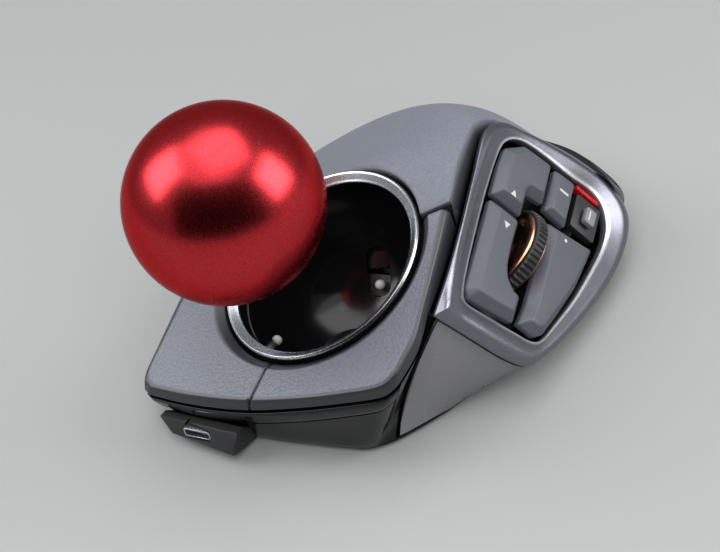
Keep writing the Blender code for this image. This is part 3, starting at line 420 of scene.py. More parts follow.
def shell_profile(near, far, high, bottom, bevel, edge):
    """Corners (distance, depth) of a shell's section, the radii of its bends and its border marks; the marks
    also tell the finish where to paint shade.
    """
    tall = high - bottom
    steps = np.linspace(0, 1, 18)[1:-1]
    inner_top, outer_top = near + 1.7 * bevel, far - edge
    corners = [(near, 1.1 * bevel), (inner_top, 0 * near)]
    corners += [(inner_top + s * (outer_top - inner_top), 0 * near) for s in steps]
    corners += [(outer_top, 0 * near), (far - 0.4 * edge, 0.35 * edge), (far, tall - 0.45), (far, tall),
                (far - 1.5, tall), (far - 1.6 - edge, SHELL + 0 * near),
                ((near + far) / 2, SHELL + 0 * near), (near + 1.6, SHELL + 0 * near),
                (near + 1.5, SHELL + SKIRT_DROP + 0 * near), (near, SHELL + SKIRT_DROP + 0 * near)]
    radii = [0.35, 0.5] + [0] * len(steps) + [0.5, 1.4, 0.2, 0.2, 0, 0, 0, 0, 0, 0]
    # marks of the smooth border, which the finish also paints darker as painted shade
    smooth_and_shade_marks = [1, 1] + [0] * len(steps) + [1, 1, 1, 1, 1, 0, 0, 0, 1, 1]
    path = np.stack([np.stack([np.broadcast_to(v, near.shape) for v in corner], -1) for corner in corners], 1)
    rows = len(near)
    marks = np.broadcast_to(np.array(smooth_and_shade_marks, float)[None, :, None], (rows, len(smooth_and_shade_marks), 1))
    return rounded_path(np.concatenate([path, marks], -1), radii)


def top_key(name, start, end, body, inner=None, slot="charcoal_pebble"):
    """A sector of the palm surface between two directions from the socket."""
    edge = GAP / 32.0
    soft = np.array([0, 0.0012, 0.003, 0.006, 0.011, 0.018])
    middle = np.arange(start + edge + 0.026, end - edge - 0.024, 0.011)
    angles = np.concatenate([start + edge + soft, middle, end - edge - soft[::-1]])
    far, bottom, _ = outline_at(angles)
    near = opening_radius(angles) if inner is None else np.full(len(angles), float(inner))
    way = np.c_[np.cos(angles), np.sin(angles)]
    high = top_height(*(SOCKET[:2] + far[:, None] * way).T)
    bevel = 1.0
    round_out = np.clip(0.34 * (high - bottom), 0.9, 4.0)
    path = shell_profile(near, far, high, bottom, bevel, round_out)
    spot = SOCKET[:2] + path[..., :1] * way[:, None]
    surface = top_height(spot[..., 0], spot[..., 1])
    split = np.minimum(angles - start - edge, end - edge - angles)[:, None] * path[..., 0]
    outside = (path[..., 1] < SHELL - 0.1) | (path[..., 0] > far[:, None] - 0.2)
    fading = np.clip(1 - path[..., 1] / (high - bottom)[:, None], 0, 1)      # the lower edge stays put
    drop = path[..., 1] + fillet_drop(split) * fading * outside
    points = np.concatenate([spot, (surface - drop)[..., None]], -1)
    if inner is None:
        points = lean(points, surface, path[..., 0] < near[:, None] + 1.55)
    # the border mark drops the pebble and paints shade on the bevelled edges
    piece = sweep(name, points, body, slot, replaces=[name], marks={"border": path[..., 2]})
    print(name, len(piece.data.polygons), "faces")
    return piece


top_key("right_click", SPLIT_RIGHT, SPLIT_FRONT, "right_key")
top_key("fn1_button", SPLIT_FRONT, SPLIT_LEFT, "fn1_key")
top_key("fn2_button", SPLIT_SMALL[1], SPLIT_SMALL[0], "fn2_key", SMALL_KEY_INNER, "charcoal_key")
top_key("fn3_button", SPLIT_SMALL[2], SPLIT_SMALL[1], "fn3_key", SMALL_KEY_INNER, "charcoal_key")

# %% [markdown]
# ## The palm cover
# The cover is one large shell that reaches from the ring to the back. We draw its border once round
# and fill it with sections that all start at a point near the top of the hump. Where the border runs
# beside the ring or a key the edge is thin, and its skirt leans back with the socket so that it clears
# the keys; along the back it turns down to the seam.
# %% The palm cover
COVER_POLE = np.array([2.0, -23.0])


def cover_border():
    """Border points (x, y, lower edge, thin): outline at the back, then splits and socket."""
    left, right = SPLIT_LEFT + 0.01, SPLIT_SMALL[2] - 0.01
    reach, low, piece = outline_at(np.array([left, right]))
    ways = np.array([[math.cos(left), math.sin(left)], [math.cos(right), math.sin(right)]])
    ends = np.c_[SOCKET[:2] + reach[:, None] * ways, low]
    last = piece[1] if piece[1] > piece[0] else piece[1] + len(outline)
    around = np.take(outline, range(piece[0] + 2, last), axis=0, mode="wrap")
    outer = np.vstack([ends[:1], around, ends[1:]])
    small = SMALL_KEY_INNER - 0.7
    turns = np.linspace(right, SPLIT_RIGHT - 0.01, 24)
    down = np.linspace(reach[1] - 1.0, small, 14)[:, None] * ways[1]
    beside = small * np.c_[np.cos(turns), np.sin(turns)]
    turn = turns[-1]
    to_ring = np.linspace(small, opening_radius(turn), 10)[1:, None] * [math.cos(turn), math.sin(turn)]
    rim = np.linspace(turn, left - 2 * math.pi, 110)[1:]
    ring = opening_radius(rim)[:, None] * np.c_[np.cos(rim), np.sin(rim)]
    back_out = np.linspace(opening_radius(left), reach[0], 14)[1:-1, None] * ways[0]
    thin = SOCKET[:2] + np.vstack([down, beside, to_ring, ring, back_out])
    before_ring = len(down) + len(beside) + len(to_ring)
    ringed = np.r_[np.zeros(before_ring), np.ones(len(ring)), np.zeros(len(back_out))]
    return (np.vstack([outer[:, :2], thin]), np.r_[outer[:, 2], np.full(len(thin), np.nan)],
            np.r_[np.zeros(len(outer)), ringed])


spots, lows, ringed = cover_border()
is_thin = np.isnan(lows)
reach = np.linalg.norm(spots - COVER_POLE, axis=1)
way = unit(spots - COVER_POLE)
high = top_height(spots[:, 0], spots[:, 1])
lows = np.where(is_thin, high - SHELL - SKIRT_DROP, lows)
tall = high - lows
edge = np.where(is_thin, np.where(ringed > 0, 1.1, FILLET), np.clip(0.34 * tall, 0.9, 4.0))
rim_drop = np.where(is_thin, np.where(ringed > 0, 1.0, FILLET), tall - 0.45)
fractions = np.linspace(0, 1, 34)[1:-1]
zero = np.zeros_like(reach)
corners = [(zero, zero)] + [(f * (reach - edge), zero) for f in fractions]
corners += [(reach - edge, zero), (reach - 0.4 * edge, 0.35 * np.minimum(edge, tall)), (reach, rim_drop),
            (reach, tall), (reach - 1.5, tall), (reach - 1.6 - edge, SHELL + zero),
            (0.5 * reach, SHELL + zero), (zero, SHELL + zero)]
radii = [0] * (len(fractions) + 1) + [0.4, 0.9, 0.2, 0.2, 0, 0, 0, 0]
# marks of the smooth border, which the finish also paints darker as painted shade
smooth_and_shade_marks = [0] * (len(fractions) + 1) + [0.3, 0.8, 1, 1, 1, 0, 0, 0]
cover_path = np.stack([np.stack([*corner, zero + s], -1) for corner, s in zip(corners, smooth_and_shade_marks)], 1)
cover_path = rounded_path(cover_path, radii)
spot = COVER_POLE + cover_path[..., :1] * way[:, None]
surface = top_height(spot[..., 0], spot[..., 1])
cover_points = np.concatenate([spot, (surface - cover_path[..., 1])[..., None]], -1)
thin_skirt = is_thin[:, None] & (cover_path[..., 0] > reach[:, None] - 1.55) & (cover_path[..., 1] > 0.2)
cover_points = lean(cover_points, surface, thin_skirt)
# the border mark drops the pebble and paints shade on the bevelled edges
top_cover = sweep("top_cover", cover_points, "body", "charcoal_pebble", loop=True, replaces=["top_cover"],
                  marks={"border": cover_path[..., 2]})
print("top_cover", len(top_cover.data.polygons), "faces")

# %% [markdown]
# ## Ring and cup
# The ring is a turned funnel: a bright narrow lip outside, a satin cone and a small lip inside. The
# cup below is a bowl round the seated ball that runs up to the ring, so its edge is cut off by the
# ring's plane. Its inner wall steps back a little near the top, as moulded cups do to clear the ring.
# The finger hole, the sensor's window and the bearing windows are cut afterwards.
# %% Ring and cup


def settle(piece, sharp):
    """Apply the piece's modifiers and find its sharp edges again by their angle."""
    bpy.context.view_layer.update()
    shape = piece.evaluated_get(bpy.context.evaluated_depsgraph_get())
    piece.data = bpy.data.meshes.new_from_object(shape)
    piece.modifiers.clear()
    piece.data.shade_smooth()
    piece.data.set_sharp_from_angle(angle=math.radians(sharp))


def cut_out(piece, cutters):
    """Take solids out of a piece with a Boolean modifier, apply it and remove the solids."""
    for cutter in cutters:
        boolean = piece.modifiers.new(cutter.name, "BOOLEAN")
        boolean.solver = "EXACT"
        boolean.object = cutter
    settle(piece, 35)
    for cutter in cutters:
        bpy.data.objects.remove(cutter)


def cutter_solid(ends):
    """A plain solid for cutting, between two equal outlines (2, points, 3) in the body's frame."""
    count = ends.shape[1]
    faces = grid_faces(2, count, False).tolist() + [list(range(count))[::-1], list(range(count, 2 * count))]
    mesh = bpy.data.meshes.new("cutter")
    mesh.from_pydata(((ends.reshape(-1, 3) + SHIFT) * MM).tolist(), [], faces)
    shape = bmesh.new()
    shape.from_mesh(mesh)
    bmesh.ops.recalc_face_normals(shape, faces=shape.faces)
    shape.to_mesh(mesh)
    shape.free()
    return add_object("cutter", mesh)


def cutter_prism(outline_points, low, high, to_body=lambda p: p):
    """A cutter from an outline between two heights, moved to the body's frame."""
    flat = np.asarray(outline_points, float)
    levels = np.array([np.c_[flat, np.full(len(flat), level)] for level in (low, high)])
    return cutter_solid(to_body(levels))


USB_ENDS = [(6.6, 1.2, 60.0, 8.8), (30.4, -4.4, 58.6, 5.6)]     # x, lean, y of the face, top


def usb_notch():
    """Room for the charging housing: its two ends, a gap wider, joined into one solid."""
    ends = []
    for side, (x, lean, y, top) in zip((-GAP, GAP), USB_ENDS):
        low = x + lean + side
        ends.append([(x + side, y + 9.0, top + GAP), (low, y + 9.0, -2.0), (low, 48.9, -2.0),
                     (low, 48.9, BASE_Z + 0.6), (x + side, y - 2.8, top + GAP)])
    return cutter_solid(np.array(ends))


def circle(radius, centre=(0, 0), steps=48):
    """Points of a circle: centre + radius * (cos, sin)."""
    spin = np.linspace(0, 2 * np.pi, steps, endpoint=False)
    return np.c_[centre[0] + radius * np.cos(spin), centre[1] + radius * np.sin(spin)]


def rounded(x0, x1, y0, y1, radius):
    """A rectangle with round corners."""
    return rounded_path([(x0, y0), (x1, y0), (x1, y1), (x0, y1)], [radius] * 4, steps=7)


ring_corners = [(RING_OUTER, -0.5), (RING_OUTER - 0.4, 0.0), (RING_OUTER - 0.8, -0.12),
                (RING_INNER + 0.5, -1.05), (RING_INNER, -1.35), (RING_INNER, -2.05),
                (RING_INNER + 1.0, -3.1), (RING_OUTER, -3.1)]
ring_profile = rounded_path(ring_corners, [0.2, 0.15, 0.15, 0.2, 0.15, 0.2, 0.2, 0.2])
turned("socket_ring", ring_profile, SOCKET, SOCKET_OUT, "body", "silver", steps=192,
       replaces=["socket_ring"])

path_x = unit(np.cross(BALL_PATH, (0.0, 0.0, 1.0)))
path_y = np.cross(BALL_PATH, path_x)
spin = np.linspace(0, 2 * np.pi, 160, endpoint=False)[:, None]
around = (np.cos(spin)[..., None] * path_x + np.sin(spin)[..., None] * path_y)
rim_point = SOCKET - CUP_TOP * SOCKET_OUT - BALL_SEAT
bow = np.linspace(np.pi / 2, np.pi, 40)[None]
STEP_SHARE, STEP_WIDTH = 0.62, 0.30   # where the inner wall steps back, as a share of its height
walls = []
for radius, turn in ((CUP_OUTER, 1), (CUP_INNER, -1)):
    bowl = radius * (np.sin(bow)[..., None] * around + np.cos(bow)[..., None] * BALL_PATH)
    climb = (((rim_point - radius * around) @ SOCKET_OUT) / (BALL_PATH @ SOCKET_OUT))[..., None]
    wide = radius + STEP_WIDTH * (turn < 0)
    levels = [wide * around + climb * BALL_PATH, wide * around + STEP_SHARE * climb * BALL_PATH,
              radius * around + (STEP_SHARE - 0.02) * climb * BALL_PATH]
    walls.append(np.concatenate([*levels, bowl], 1)[:, ::turn])
ball_cup = sweep("ball_cup", BALL_SEAT + np.concatenate(walls, 1), "body", "black_gloss", loop=True,
                 replaces=["ball_cup"])

BEARING_WAYS = [(0.09, -0.74, -0.67), (0.62, 0.42, -0.66), (-0.68, 0.30, -0.67)]
BEARING_RADIUS, BEARING_REACH = 1.25, 23.4      # its own radius, and how far it is from the ball's centre
CUT_FROM, CUT_TO = 20, 27                       # where a window through the cup's wall starts and ends


def bearing_frame(way):
    """A function that moves points to a frame whose Z looks along a way from the seated ball."""
    z = unit(way)
    x = unit(np.cross((0.1, 0.2, 1.0), z))
    y = np.cross(z, x)
    return lambda p: BALL_SEAT + p[..., :1] * x + p[..., 1:2] * y + p[..., 2:3] * z


cuts = [cutter_prism(circle(FINGER_HOLE, BALL_SEAT[:2]), -3, 12),
        cutter_prism(rounded(-3.0, 3.0, -3.0, 9.0, 2.9), CUT_FROM, CUT_TO,
                     bearing_frame(BEARING_WAYS[0]))]
cuts += [cutter_prism(circle(1.8), CUT_FROM, CUT_TO, bearing_frame(way)) for way in BEARING_WAYS[1:]]
cut_out(ball_cup, cuts)
for k, way in enumerate(BEARING_WAYS):
    turned(f"support_bearing_{k + 1}", ring_arc(BEARING_RADIUS, (0, 0), -90, 90, 17),
           BALL_SEAT + BEARING_REACH * unit(way), way, "body", "bearing", steps=36,
           replaces=[f"support_bearing_{k + 1}"])
print("ball_cup", len(ball_cup.data.polygons), "faces after its windows are cut")

# %% [markdown]
# ## The ball
# The ball is a phenolic sphere: a coloured core under a coat. The coat is a shell, so its section runs
# out over the sphere and back along the inside, and a pinhole at the bottom joins the two. A sphere is
# the one shape where flat facets are seen at once in its outline, so it gets a fine grid of turns.
# %% The ball
COAT_INNER, PINHOLE = 20.9, 2.0       # radius inside the coat, and half the pinhole's angle in degrees
coat_profile = np.vstack([ring_arc(BALL_RADIUS, (0, 0), PINHOLE - 90, 90, 97),
                          ring_arc(COAT_INNER, (0, 0), 90, PINHOLE - 90, 49)])
ball_coat = turned("ball_coat", coat_profile, BALL_OUT, BALL_PATH, "ball_shell", "ball_clear", steps=192,
                   replaces=["ball_coat"])
print("ball:", 2 * BALL_RADIUS, "mm across,", len(ball_coat.data.polygons), "faces")

# %% [markdown]
# ## The thumb frame
# The frame is one section carried round the panel. The section rises from a thin inner rim to a
# soft crest and turns down to its foot. Its bends are rounded, because the bright bars that run
# along such a frame are reflections in those bends.
# %% The thumb frame
stations = spline([(*inner, *crest, drop) for inner, crest, drop in FRAME_STATIONS], (FIRST_FOOT,), step=1.2)
inner, outer, rise, drop = stations[:, :2], stations[:, 2:4], stations[:, 4:5], stations[:, 5:6]
width = np.linalg.norm(outer - inner, axis=1, keepdims=True)
out_way = (outer - inner) / width
swell = 0.16 * width
section = [(inner, 0.1 + 0 * rise), (inner + 0.35 * (outer - inner), 0.1 + 0.5 * swell),
           (inner + 0.72 * (outer - inner), 0.35 * rise + 0.85 * swell), (outer, rise - 0.3),
           (outer - 0.1 * out_way, rise - 0.6 * drop), (outer - 0.9 * out_way, rise - drop),
           (outer - 2.5 * out_way, rise - drop), (inner + 0.9 * out_way, -2.2 + 0 * rise),
           (inner, -2.2 + 0 * rise)]
frame_path = np.stack([np.concatenate(pair, -1) for pair in section], 1)
frame_path = rounded_path(frame_path, [0.45, 1.6, 2.0, 0.5, 0.6, 0.3, 0.3, 0.2, 0.2], steps=7)
# rim: how far a point lies on the thin line along the inner edge that the gunmetal finish paints bright, a
# painted highlight
from_rim = np.linalg.norm(frame_path[..., :2] - inner[:, None], axis=-1)
rim = np.clip(1.6 - from_rim / 0.5, 0, 1) * (frame_path[..., 2] > -0.6)
thumb_frame = sweep("thumb_frame", from_panel(frame_path), "body", "gunmetal", loop=True,
                    replaces=["thumb_frame"], marks={"rim": rim})
print("thumb_frame", len(thumb_frame.data.polygons), "faces")

# %% [markdown]
# ## Thumb keys
# Each key has a flat top and broad sloping sides. Its outline is drawn once; every level of the key
# is that outline moved inwards, with its corners rounded. Moving an outline inwards means moving
# each corner along the middle of its two edge normals.
# %% Thumb keys
KEYS = {
    "back_key": ("back", [(12.8, -7.2), (13.0, -16.0), (12.6, -21.4), (7.6, -25.8), (-1.6, -26.4),
                          (-2.0, -14.8), (3.0, -13.9), (3.3, -13.2), (3.3, -7.2)]),
    "forward_key": ("forward", [(12.7, -5.8), (12.3, 19.6), (10.8, 21.6), (4.0, 20.7), (-2.4, 19.6),
                                (-2.5, 12.2), (0.4, 11.8), (2.2, 10.2), (3.0, 7.6), (3.3, 2.0), (3.3, -5.8)]),
    "left_click_key": ("left", [(-4.7, -11.4), (-4.7, 12.6), (-3.8, 18.8), (-9.2, 18.9), (-11.4, 16.8),
                                (-14.4, 8.4), (-17.3, -0.8), (-19.4, -13.4), (-11.0, -12.2)]),
    "speed_key": ("speed", [(-2.8, -26.3), (-2.8, -13.9), (-9.9, -13.4), (-9.7, -26.6)])}


def shrink(corners, distance):
    """The outline moved inwards by a distance along the middle of each corner's edge normals."""
    before, after = np.roll(corners, 1, 0), np.roll(corners, -1, 0)
    turn = np.sign(np.sum(corners[:, 0] * after[:, 1] - after[:, 0] * corners[:, 1]))
    n1, n2 = (turn * unit(np.c_[-(b - a)[:, 1], (b - a)[:, 0]])
              for a, b in ((before, corners), (corners, after)))
    return corners + distance * (n1 + n2) / np.maximum(0.4, 1 + (n1 * n2).sum(1, keepdims=True))


def thumb_key(name, body, corners):
    """Levels of the outline from the skirt, up the sloping sides and over a rounded edge."""
    bevel, rise = (1.2, 1.8) if name == "speed_key" else (1.9, 2.5)
    climb = rounded_path([(0, -0.9), (0, 0.3), (bevel, rise), (bevel + 2, rise)], [0, 0.35, 0.4, 0], steps=6)
    levels = []
    for inset, height in climb[:-1]:
        level = rounded_path(shrink(np.array(corners), inset), [0.7] * len(corners), steps=6)
        levels.append(np.c_[level, np.full(len(level), height)])
    return sweep(name, from_panel(np.array(levels)), body, "charcoal_key", replaces=[name], sharp=30)


for name, (body, corners) in KEYS.items():
    piece = thumb_key(name, body, corners)
    print(name, len(piece.data.polygons), "faces")

# %% [markdown]
# ## The scroll wheel
# The tread is a soft tyre with fine cross ribs, clamped between two polished rims. The ribs are a
# radius that rises and falls round the wheel; a steep sine gives them flat tops and narrow grooves.
# %% The scroll wheel
WHEEL_RADIUS, WHEEL_HALF, RIBS = 12.0, 2.4, 54
wheel_middle = from_panel(WHEEL_CENTRE)
spin = np.linspace(0, 2 * np.pi, RIBS * 8, endpoint=False)
grip = WHEEL_RADIUS - 0.22 + 0.22 * np.tanh(3.0 * np.sin(RIBS * spin))
TREAD_INSIDE, TREAD_SHOULDER = 9.95 + 0 * spin, 11.25 + 0 * spin
tread = [(TREAD_INSIDE, -1.55), (TREAD_SHOULDER, -1.65), (grip, -1.2), (grip, -0.4), (grip, 0.4),
         (grip, 1.2), (TREAD_SHOULDER, 1.65), (TREAD_INSIDE, 1.55)]
tread = np.stack([np.stack([radius * np.cos(spin), radius * np.sin(spin), side + 0 * spin], -1)
                  for radius, side in tread], 1)
tread = rounded_path(tread, [0, 0.3, 0.3, 0, 0, 0.3, 0.3, 0], steps=4)
tyre_points = (wheel_middle + tread[..., :1] * PANEL_Y + tread[..., 1:2] * PANEL_Z
               + tread[..., 2:3] * PANEL_X)
wheel_tyre = sweep("wheel_tyre", tyre_points, "wheel", "rubber", loop=True, replaces=["wheel_tyre"])

half_hub = [(1.4, 1.6), (3.2, 1.6), (3.8, 1.2), (7.6, 1.2), (8.6, 1.9), (9.4, WHEEL_HALF),
            (10.5, WHEEL_HALF), (10.9, WHEEL_HALF - 0.35), (10.9, 1.9), (9.6, 1.7)]
hub_corners = half_hub + [(r, -side) for r, side in half_hub[::-1]]
hub_profile = rounded_path(hub_corners, [0.2] * len(hub_corners), steps=4)
turned("wheel_hub", hub_profile, wheel_middle, PANEL_X, "wheel", "copper", steps=144,
       replaces=["wheel_hub"])
print("wheel:", RIBS, "ribs,", len(wheel_tyre.data.polygons), "faces in the tread")

# %% [markdown]
# ## Lower case, belt and skirt
# The lower case is a wall and a floor carried round the seam. A glossy belt sits in a step under the
# front keys, and a skirt fills the hollow side under the thumb; its grey colour is a painted reflection
# of the pale surroundings in that glossy side. Their sections come from the same wall function, so
# they stay flush with the case.
# %% Lower case, belt and skirt


def rows_between(span):
    """The fine seam's rows from one of the SEAM points to another."""
    return np.arange(seam_index(span[0]), seam_index(span[1]) + 1)


every = np.arange(len(seam))
tops = seam[:, 2]
in_belt, in_skirt = np.isin(every, rows_between(FRONT_BELT)), np.isin(every, rows_between(SIDE_SKIRT))
inset = np.where(in_belt, BELT_THICK + GAP, np.where(in_skirt, SKIRT_THICK + GAP, 0.0))
step = np.where(in_belt, tops - BELT_HEIGHT - GAP, BASE_Z + 1.2)
share = np.linspace(0, 1, 9)
below = BASE_Z + 0.6 + np.linspace(0, 1, 9)[None] * (step - BASE_Z - 0.6)[:, None]
above = (step + 0.01)[:, None] + share[None] * (tops - step - 0.01)[:, None]
floor_middle = np.broadcast_to(BODY_CENTRE, (len(seam), 2))[:, None]
case_sections = [np.concatenate([floor_middle, np.full((len(seam), 1, 1), BASE_Z)], -1),
                 body_points(every, np.full((len(seam), 1), BASE_Z), 1.0),
                 body_points(every, np.full((len(seam), 1), BASE_Z + 0.15), 0.45),
                 body_points(every, below), body_points(every, above, inset[:, None]),
                 body_points(every, above[:, ::-1], inset[:, None] + WALL),
                 body_points(every, np.full((len(seam), 1), FLOOR_Z), inset[:, None] + WALL + 0.6),
                 np.concatenate([floor_middle, np.full((len(seam), 1, 1), FLOOR_Z)], -1)]
lower_case = sweep("lower_case", np.concatenate(case_sections, 1), "body", "black_gloss", loop=True,
                   replaces=["lower_case"])

SCREWS = [(27, 36), (-23, 26), (37, -16)]
holes = [(circle(FINGER_HOLE, BALL_SEAT[:2]), 8), (rounded(-25.5, 29.5, -44.6, -29.4, 0.5), 5),
         ([(-27.4, -80), (31.4, -80), (31.4, -27.8), (-27.4, -27.8)], BASE_Z + 1.2),
         (rounded(-11.5, -0.5, -14.2, -10.2, 0.8), 5), (circle(2.3, (10, -12.2), 24), 5)]
holes += [(circle(1.6, spot, 24), 5) for spot in SCREWS]
holes += [(circle(2.7, spot, 32), BASE_Z + 0.9) for spot in SCREWS]
cut_out(lower_case, [cutter_prism(shape, -1, top) for shape, top in holes] + [usb_notch()])

belt_rows = rows_between(FRONT_BELT)
belt_top, belt_low = tops[belt_rows] - GAP, tops[belt_rows] - BELT_HEIGHT
belt_heights = np.stack([belt_top, belt_top - 0.8, (belt_top + belt_low) / 2, belt_low + 0.8, belt_low,
                         belt_low, belt_top], -1)
belt_inset = np.array([0.0, -0.35, -0.42, -0.35, 0.0, BELT_THICK, BELT_THICK])
belt_path = rounded_path(body_points(belt_rows, belt_heights, belt_inset), [0.2, 0.4, 0, 0.4, 0.2, 0.1, 0.1])
front_belt = sweep("front_belt", belt_path, "body", "black_gloss", replaces=["front_belt"])

skirt_rows = rows_between(SIDE_SKIRT)[2:-2]
skirt_top = tops[skirt_rows] - 0.05
skirt_heights = (BASE_Z + 1.2 + GAP) + np.linspace(0, 1, 16)[None] * (skirt_top - BASE_Z - 1.2 - GAP)[:, None]
skirt_path = np.concatenate([body_points(skirt_rows, skirt_heights),
                             body_points(skirt_rows, skirt_heights[:, ::-1], SKIRT_THICK)], 1)
# painted reflection: the skirt is coloured grey for the pale surroundings seen in its gloss
side_skirt = sweep("side_skirt", skirt_path, "body", "grey_gloss", replaces=["side_skirt"])
print("lower case", len(lower_case.data.polygons), "faces; belt", len(front_belt.data.polygons),
      "; skirt", len(side_skirt.data.polygons))

# %% [markdown]
# ## Small moulded pieces
# Switches, feet, covers and the charging socket's housing have the right shape in the frame already,
# but their edges are knife sharp. A real moulding has a small radius everywhere, and that radius is
# what catches the light. We copy each node's mesh, merge its loose triangles and bevel its edges.
# %% Small moulded pieces


def softened(node, radius, slot, body="body", segments=3):
    """A copy of a frame node with its sharp edges rounded by a bevel."""
    mesh = nodes[node].data.copy()
    mesh.name = node + "_skin"
    shape = bmesh.new()
    shape.from_mesh(mesh)
    bmesh.ops.remove_doubles(shape, verts=shape.verts, dist=1e-6)
    bmesh.ops.dissolve_limit(shape, angle_limit=math.radians(1.0), verts=shape.verts, edges=shape.edges)
    shape.to_mesh(mesh)
    shape.free()
    piece = add_object(mesh.name, mesh)
    bevel = piece.modifiers.new("edge", "BEVEL")
    bevel.width = radius * MM
    bevel.segments = segments
    bevel.limit_method = "ANGLE"
    bevel.angle_limit = math.radians(30)
    bevel.use_clamp_overlap = True
    settle(piece, 40)
    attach(piece, body)
    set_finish(piece, slot)
    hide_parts(node)
    return piece


SMALL = [("usb_housing", 0.25, "black_plain", "body"), ("usb_port", 0.08, "silver", "body"),
         ("switch_bezel", 0.2, "black_plain", "body"), ("speed_switch", 0.25, "slider", "speed_slider"),
         ("battery_cover", 0.2, "black_plain", "battery_lid"), ("mode_switch", 0.2, "slider", "mode_slider"),
         ("pairing_button", 0.3, "slider", "pairing"), ("usb_receiver", 0.3, "black_plain", "body")]
SMALL += [(f"foot_{k}", 0.15, "foot", "body") for k in range(1, 5)]
for node, radius, slot, body in SMALL:
    softened(node, radius, slot, body)
print("softened", len(SMALL), "small mouldings")

# %% [markdown]
# ## Printed marks
# The keys carry small printed signs. Plain triangles for back and forward, a dot on the left key and
# a bar on the slider say enough. A printed mark is a film of ink, so each is a plate only a few
# hundredths of a millimetre thick that rides with its key.
# %% Printed marks


def ink_mark(name, outline_points, height, body, slot="bearing"):
    """A thin plate on the panel side, at a height above the panel."""
    outline_points = np.asarray(outline_points, float)
    levels = [np.c_[outline_points, np.full(len(outline_points), level)] for level in (height, height + 0.03)]
    return sweep(name, from_panel(np.array(levels)), body, slot, sharp=20)


ink_mark("mark_back", [(9.1, -9.2), (7.3, -9.2), (8.2, -10.9)], 2.5, "back")
ink_mark("mark_forward", [(8.7, -1.5), (6.9, -1.5), (7.8, 0.2)], 2.5, "forward")
ink_mark("mark_left", circle(0.45, (-9.6, -8.6), 24), 2.5, "left")
ink_mark("mark_speed", rounded(-7.6, -4.7, -21.5, -20.9, 0.25), 1.8, "speed")
ink_mark("mark_slider", rounded(-15.7, -15.3, -22.4, -19.6, 0.15), 1.5, "speed_slider")
print("five printed marks")

# %% [markdown]
# ## Finishes
# Every finish is a small node tree round one Principled shader. The even values sit on the shader's
# own sockets. Noise and cell patterns, measured in the piece's own space so that they never slide,
# give the grain. One helper builds the shader, and another adds a grain to its surface.
# %% Finishes


def new_finish(name, colour, roughness, metallic=0.0, **sockets):
    """A Principled material with its even values set on the shader's own sockets."""
    material = bpy.data.materials.new(name)
    material.use_nodes = True
    shader = material.node_tree.nodes["Principled BSDF"]
    shader.inputs["Base Color"].default_value = (*colour, 1.0)
    shader.inputs["Roughness"].default_value = roughness
    shader.inputs["Metallic"].default_value = metallic
    for label, value in sockets.items():
        shader.inputs[label.replace("_", " ")].default_value = value
    return material


def node_of(material, kind, **values):
    """A new node of the material's tree, with named inputs set."""
    node = material.node_tree.nodes.new(kind)
    for label, value in values.items():
        node.inputs[label].default_value = value
    return node


def pattern(material, kind, scale, **values):
    """A noise or cell texture in object space; scale is in repeats per millimetre."""
    texture = node_of(material, kind, Scale=scale / MM, **values)
    place = node_of(material, "ShaderNodeTexCoord")
    material.node_tree.links.new(place.outputs["Object"], texture.inputs["Vector"])
    return texture


def add_bump(material, height, depth, share=1.0):
    """Bend the shader's normals by a height between 0 and 1, `depth` millimetres deep."""
    tree = material.node_tree
    shader = tree.nodes["Principled BSDF"]
    bump = node_of(material, "ShaderNodeBump", Strength=share, Distance=depth * MM)
    tree.links.new(height, bump.inputs["Height"])
    before = shader.inputs["Normal"].links
    if before:
        tree.links.new(before[0].from_socket, bump.inputs["Normal"])
    tree.links.new(bump.outputs["Normal"], shader.inputs["Normal"])
    return bump


def vary(material, source, socket, low, high, start=0.3, end=0.7):
    """Drive a socket of the shader from a texture, between two values or two colours."""
    tree = material.node_tree
    if isinstance(low, tuple):
        spread = node_of(material, "ShaderNodeValToRGB")
        spread.color_ramp.elements[0].position, spread.color_ramp.elements[1].position = start, end
        spread.color_ramp.elements[0].color, spread.color_ramp.elements[1].color = (*low, 1), (*high, 1)
        tree.links.new(source, spread.inputs["Fac"])
        result = spread.outputs["Color"]
    else:
        spread = node_of(material, "ShaderNodeMapRange")
        for label, value in (("From Min", start), ("From Max", end), ("To Min", low), ("To Max", high)):
            spread.inputs[label].default_value = value
        tree.links.new(source, spread.inputs["Value"])
        result = spread.outputs["Result"]
    tree.links.new(result, tree.nodes["Principled BSDF"].inputs[socket])
    return result


print("finish helpers ready")
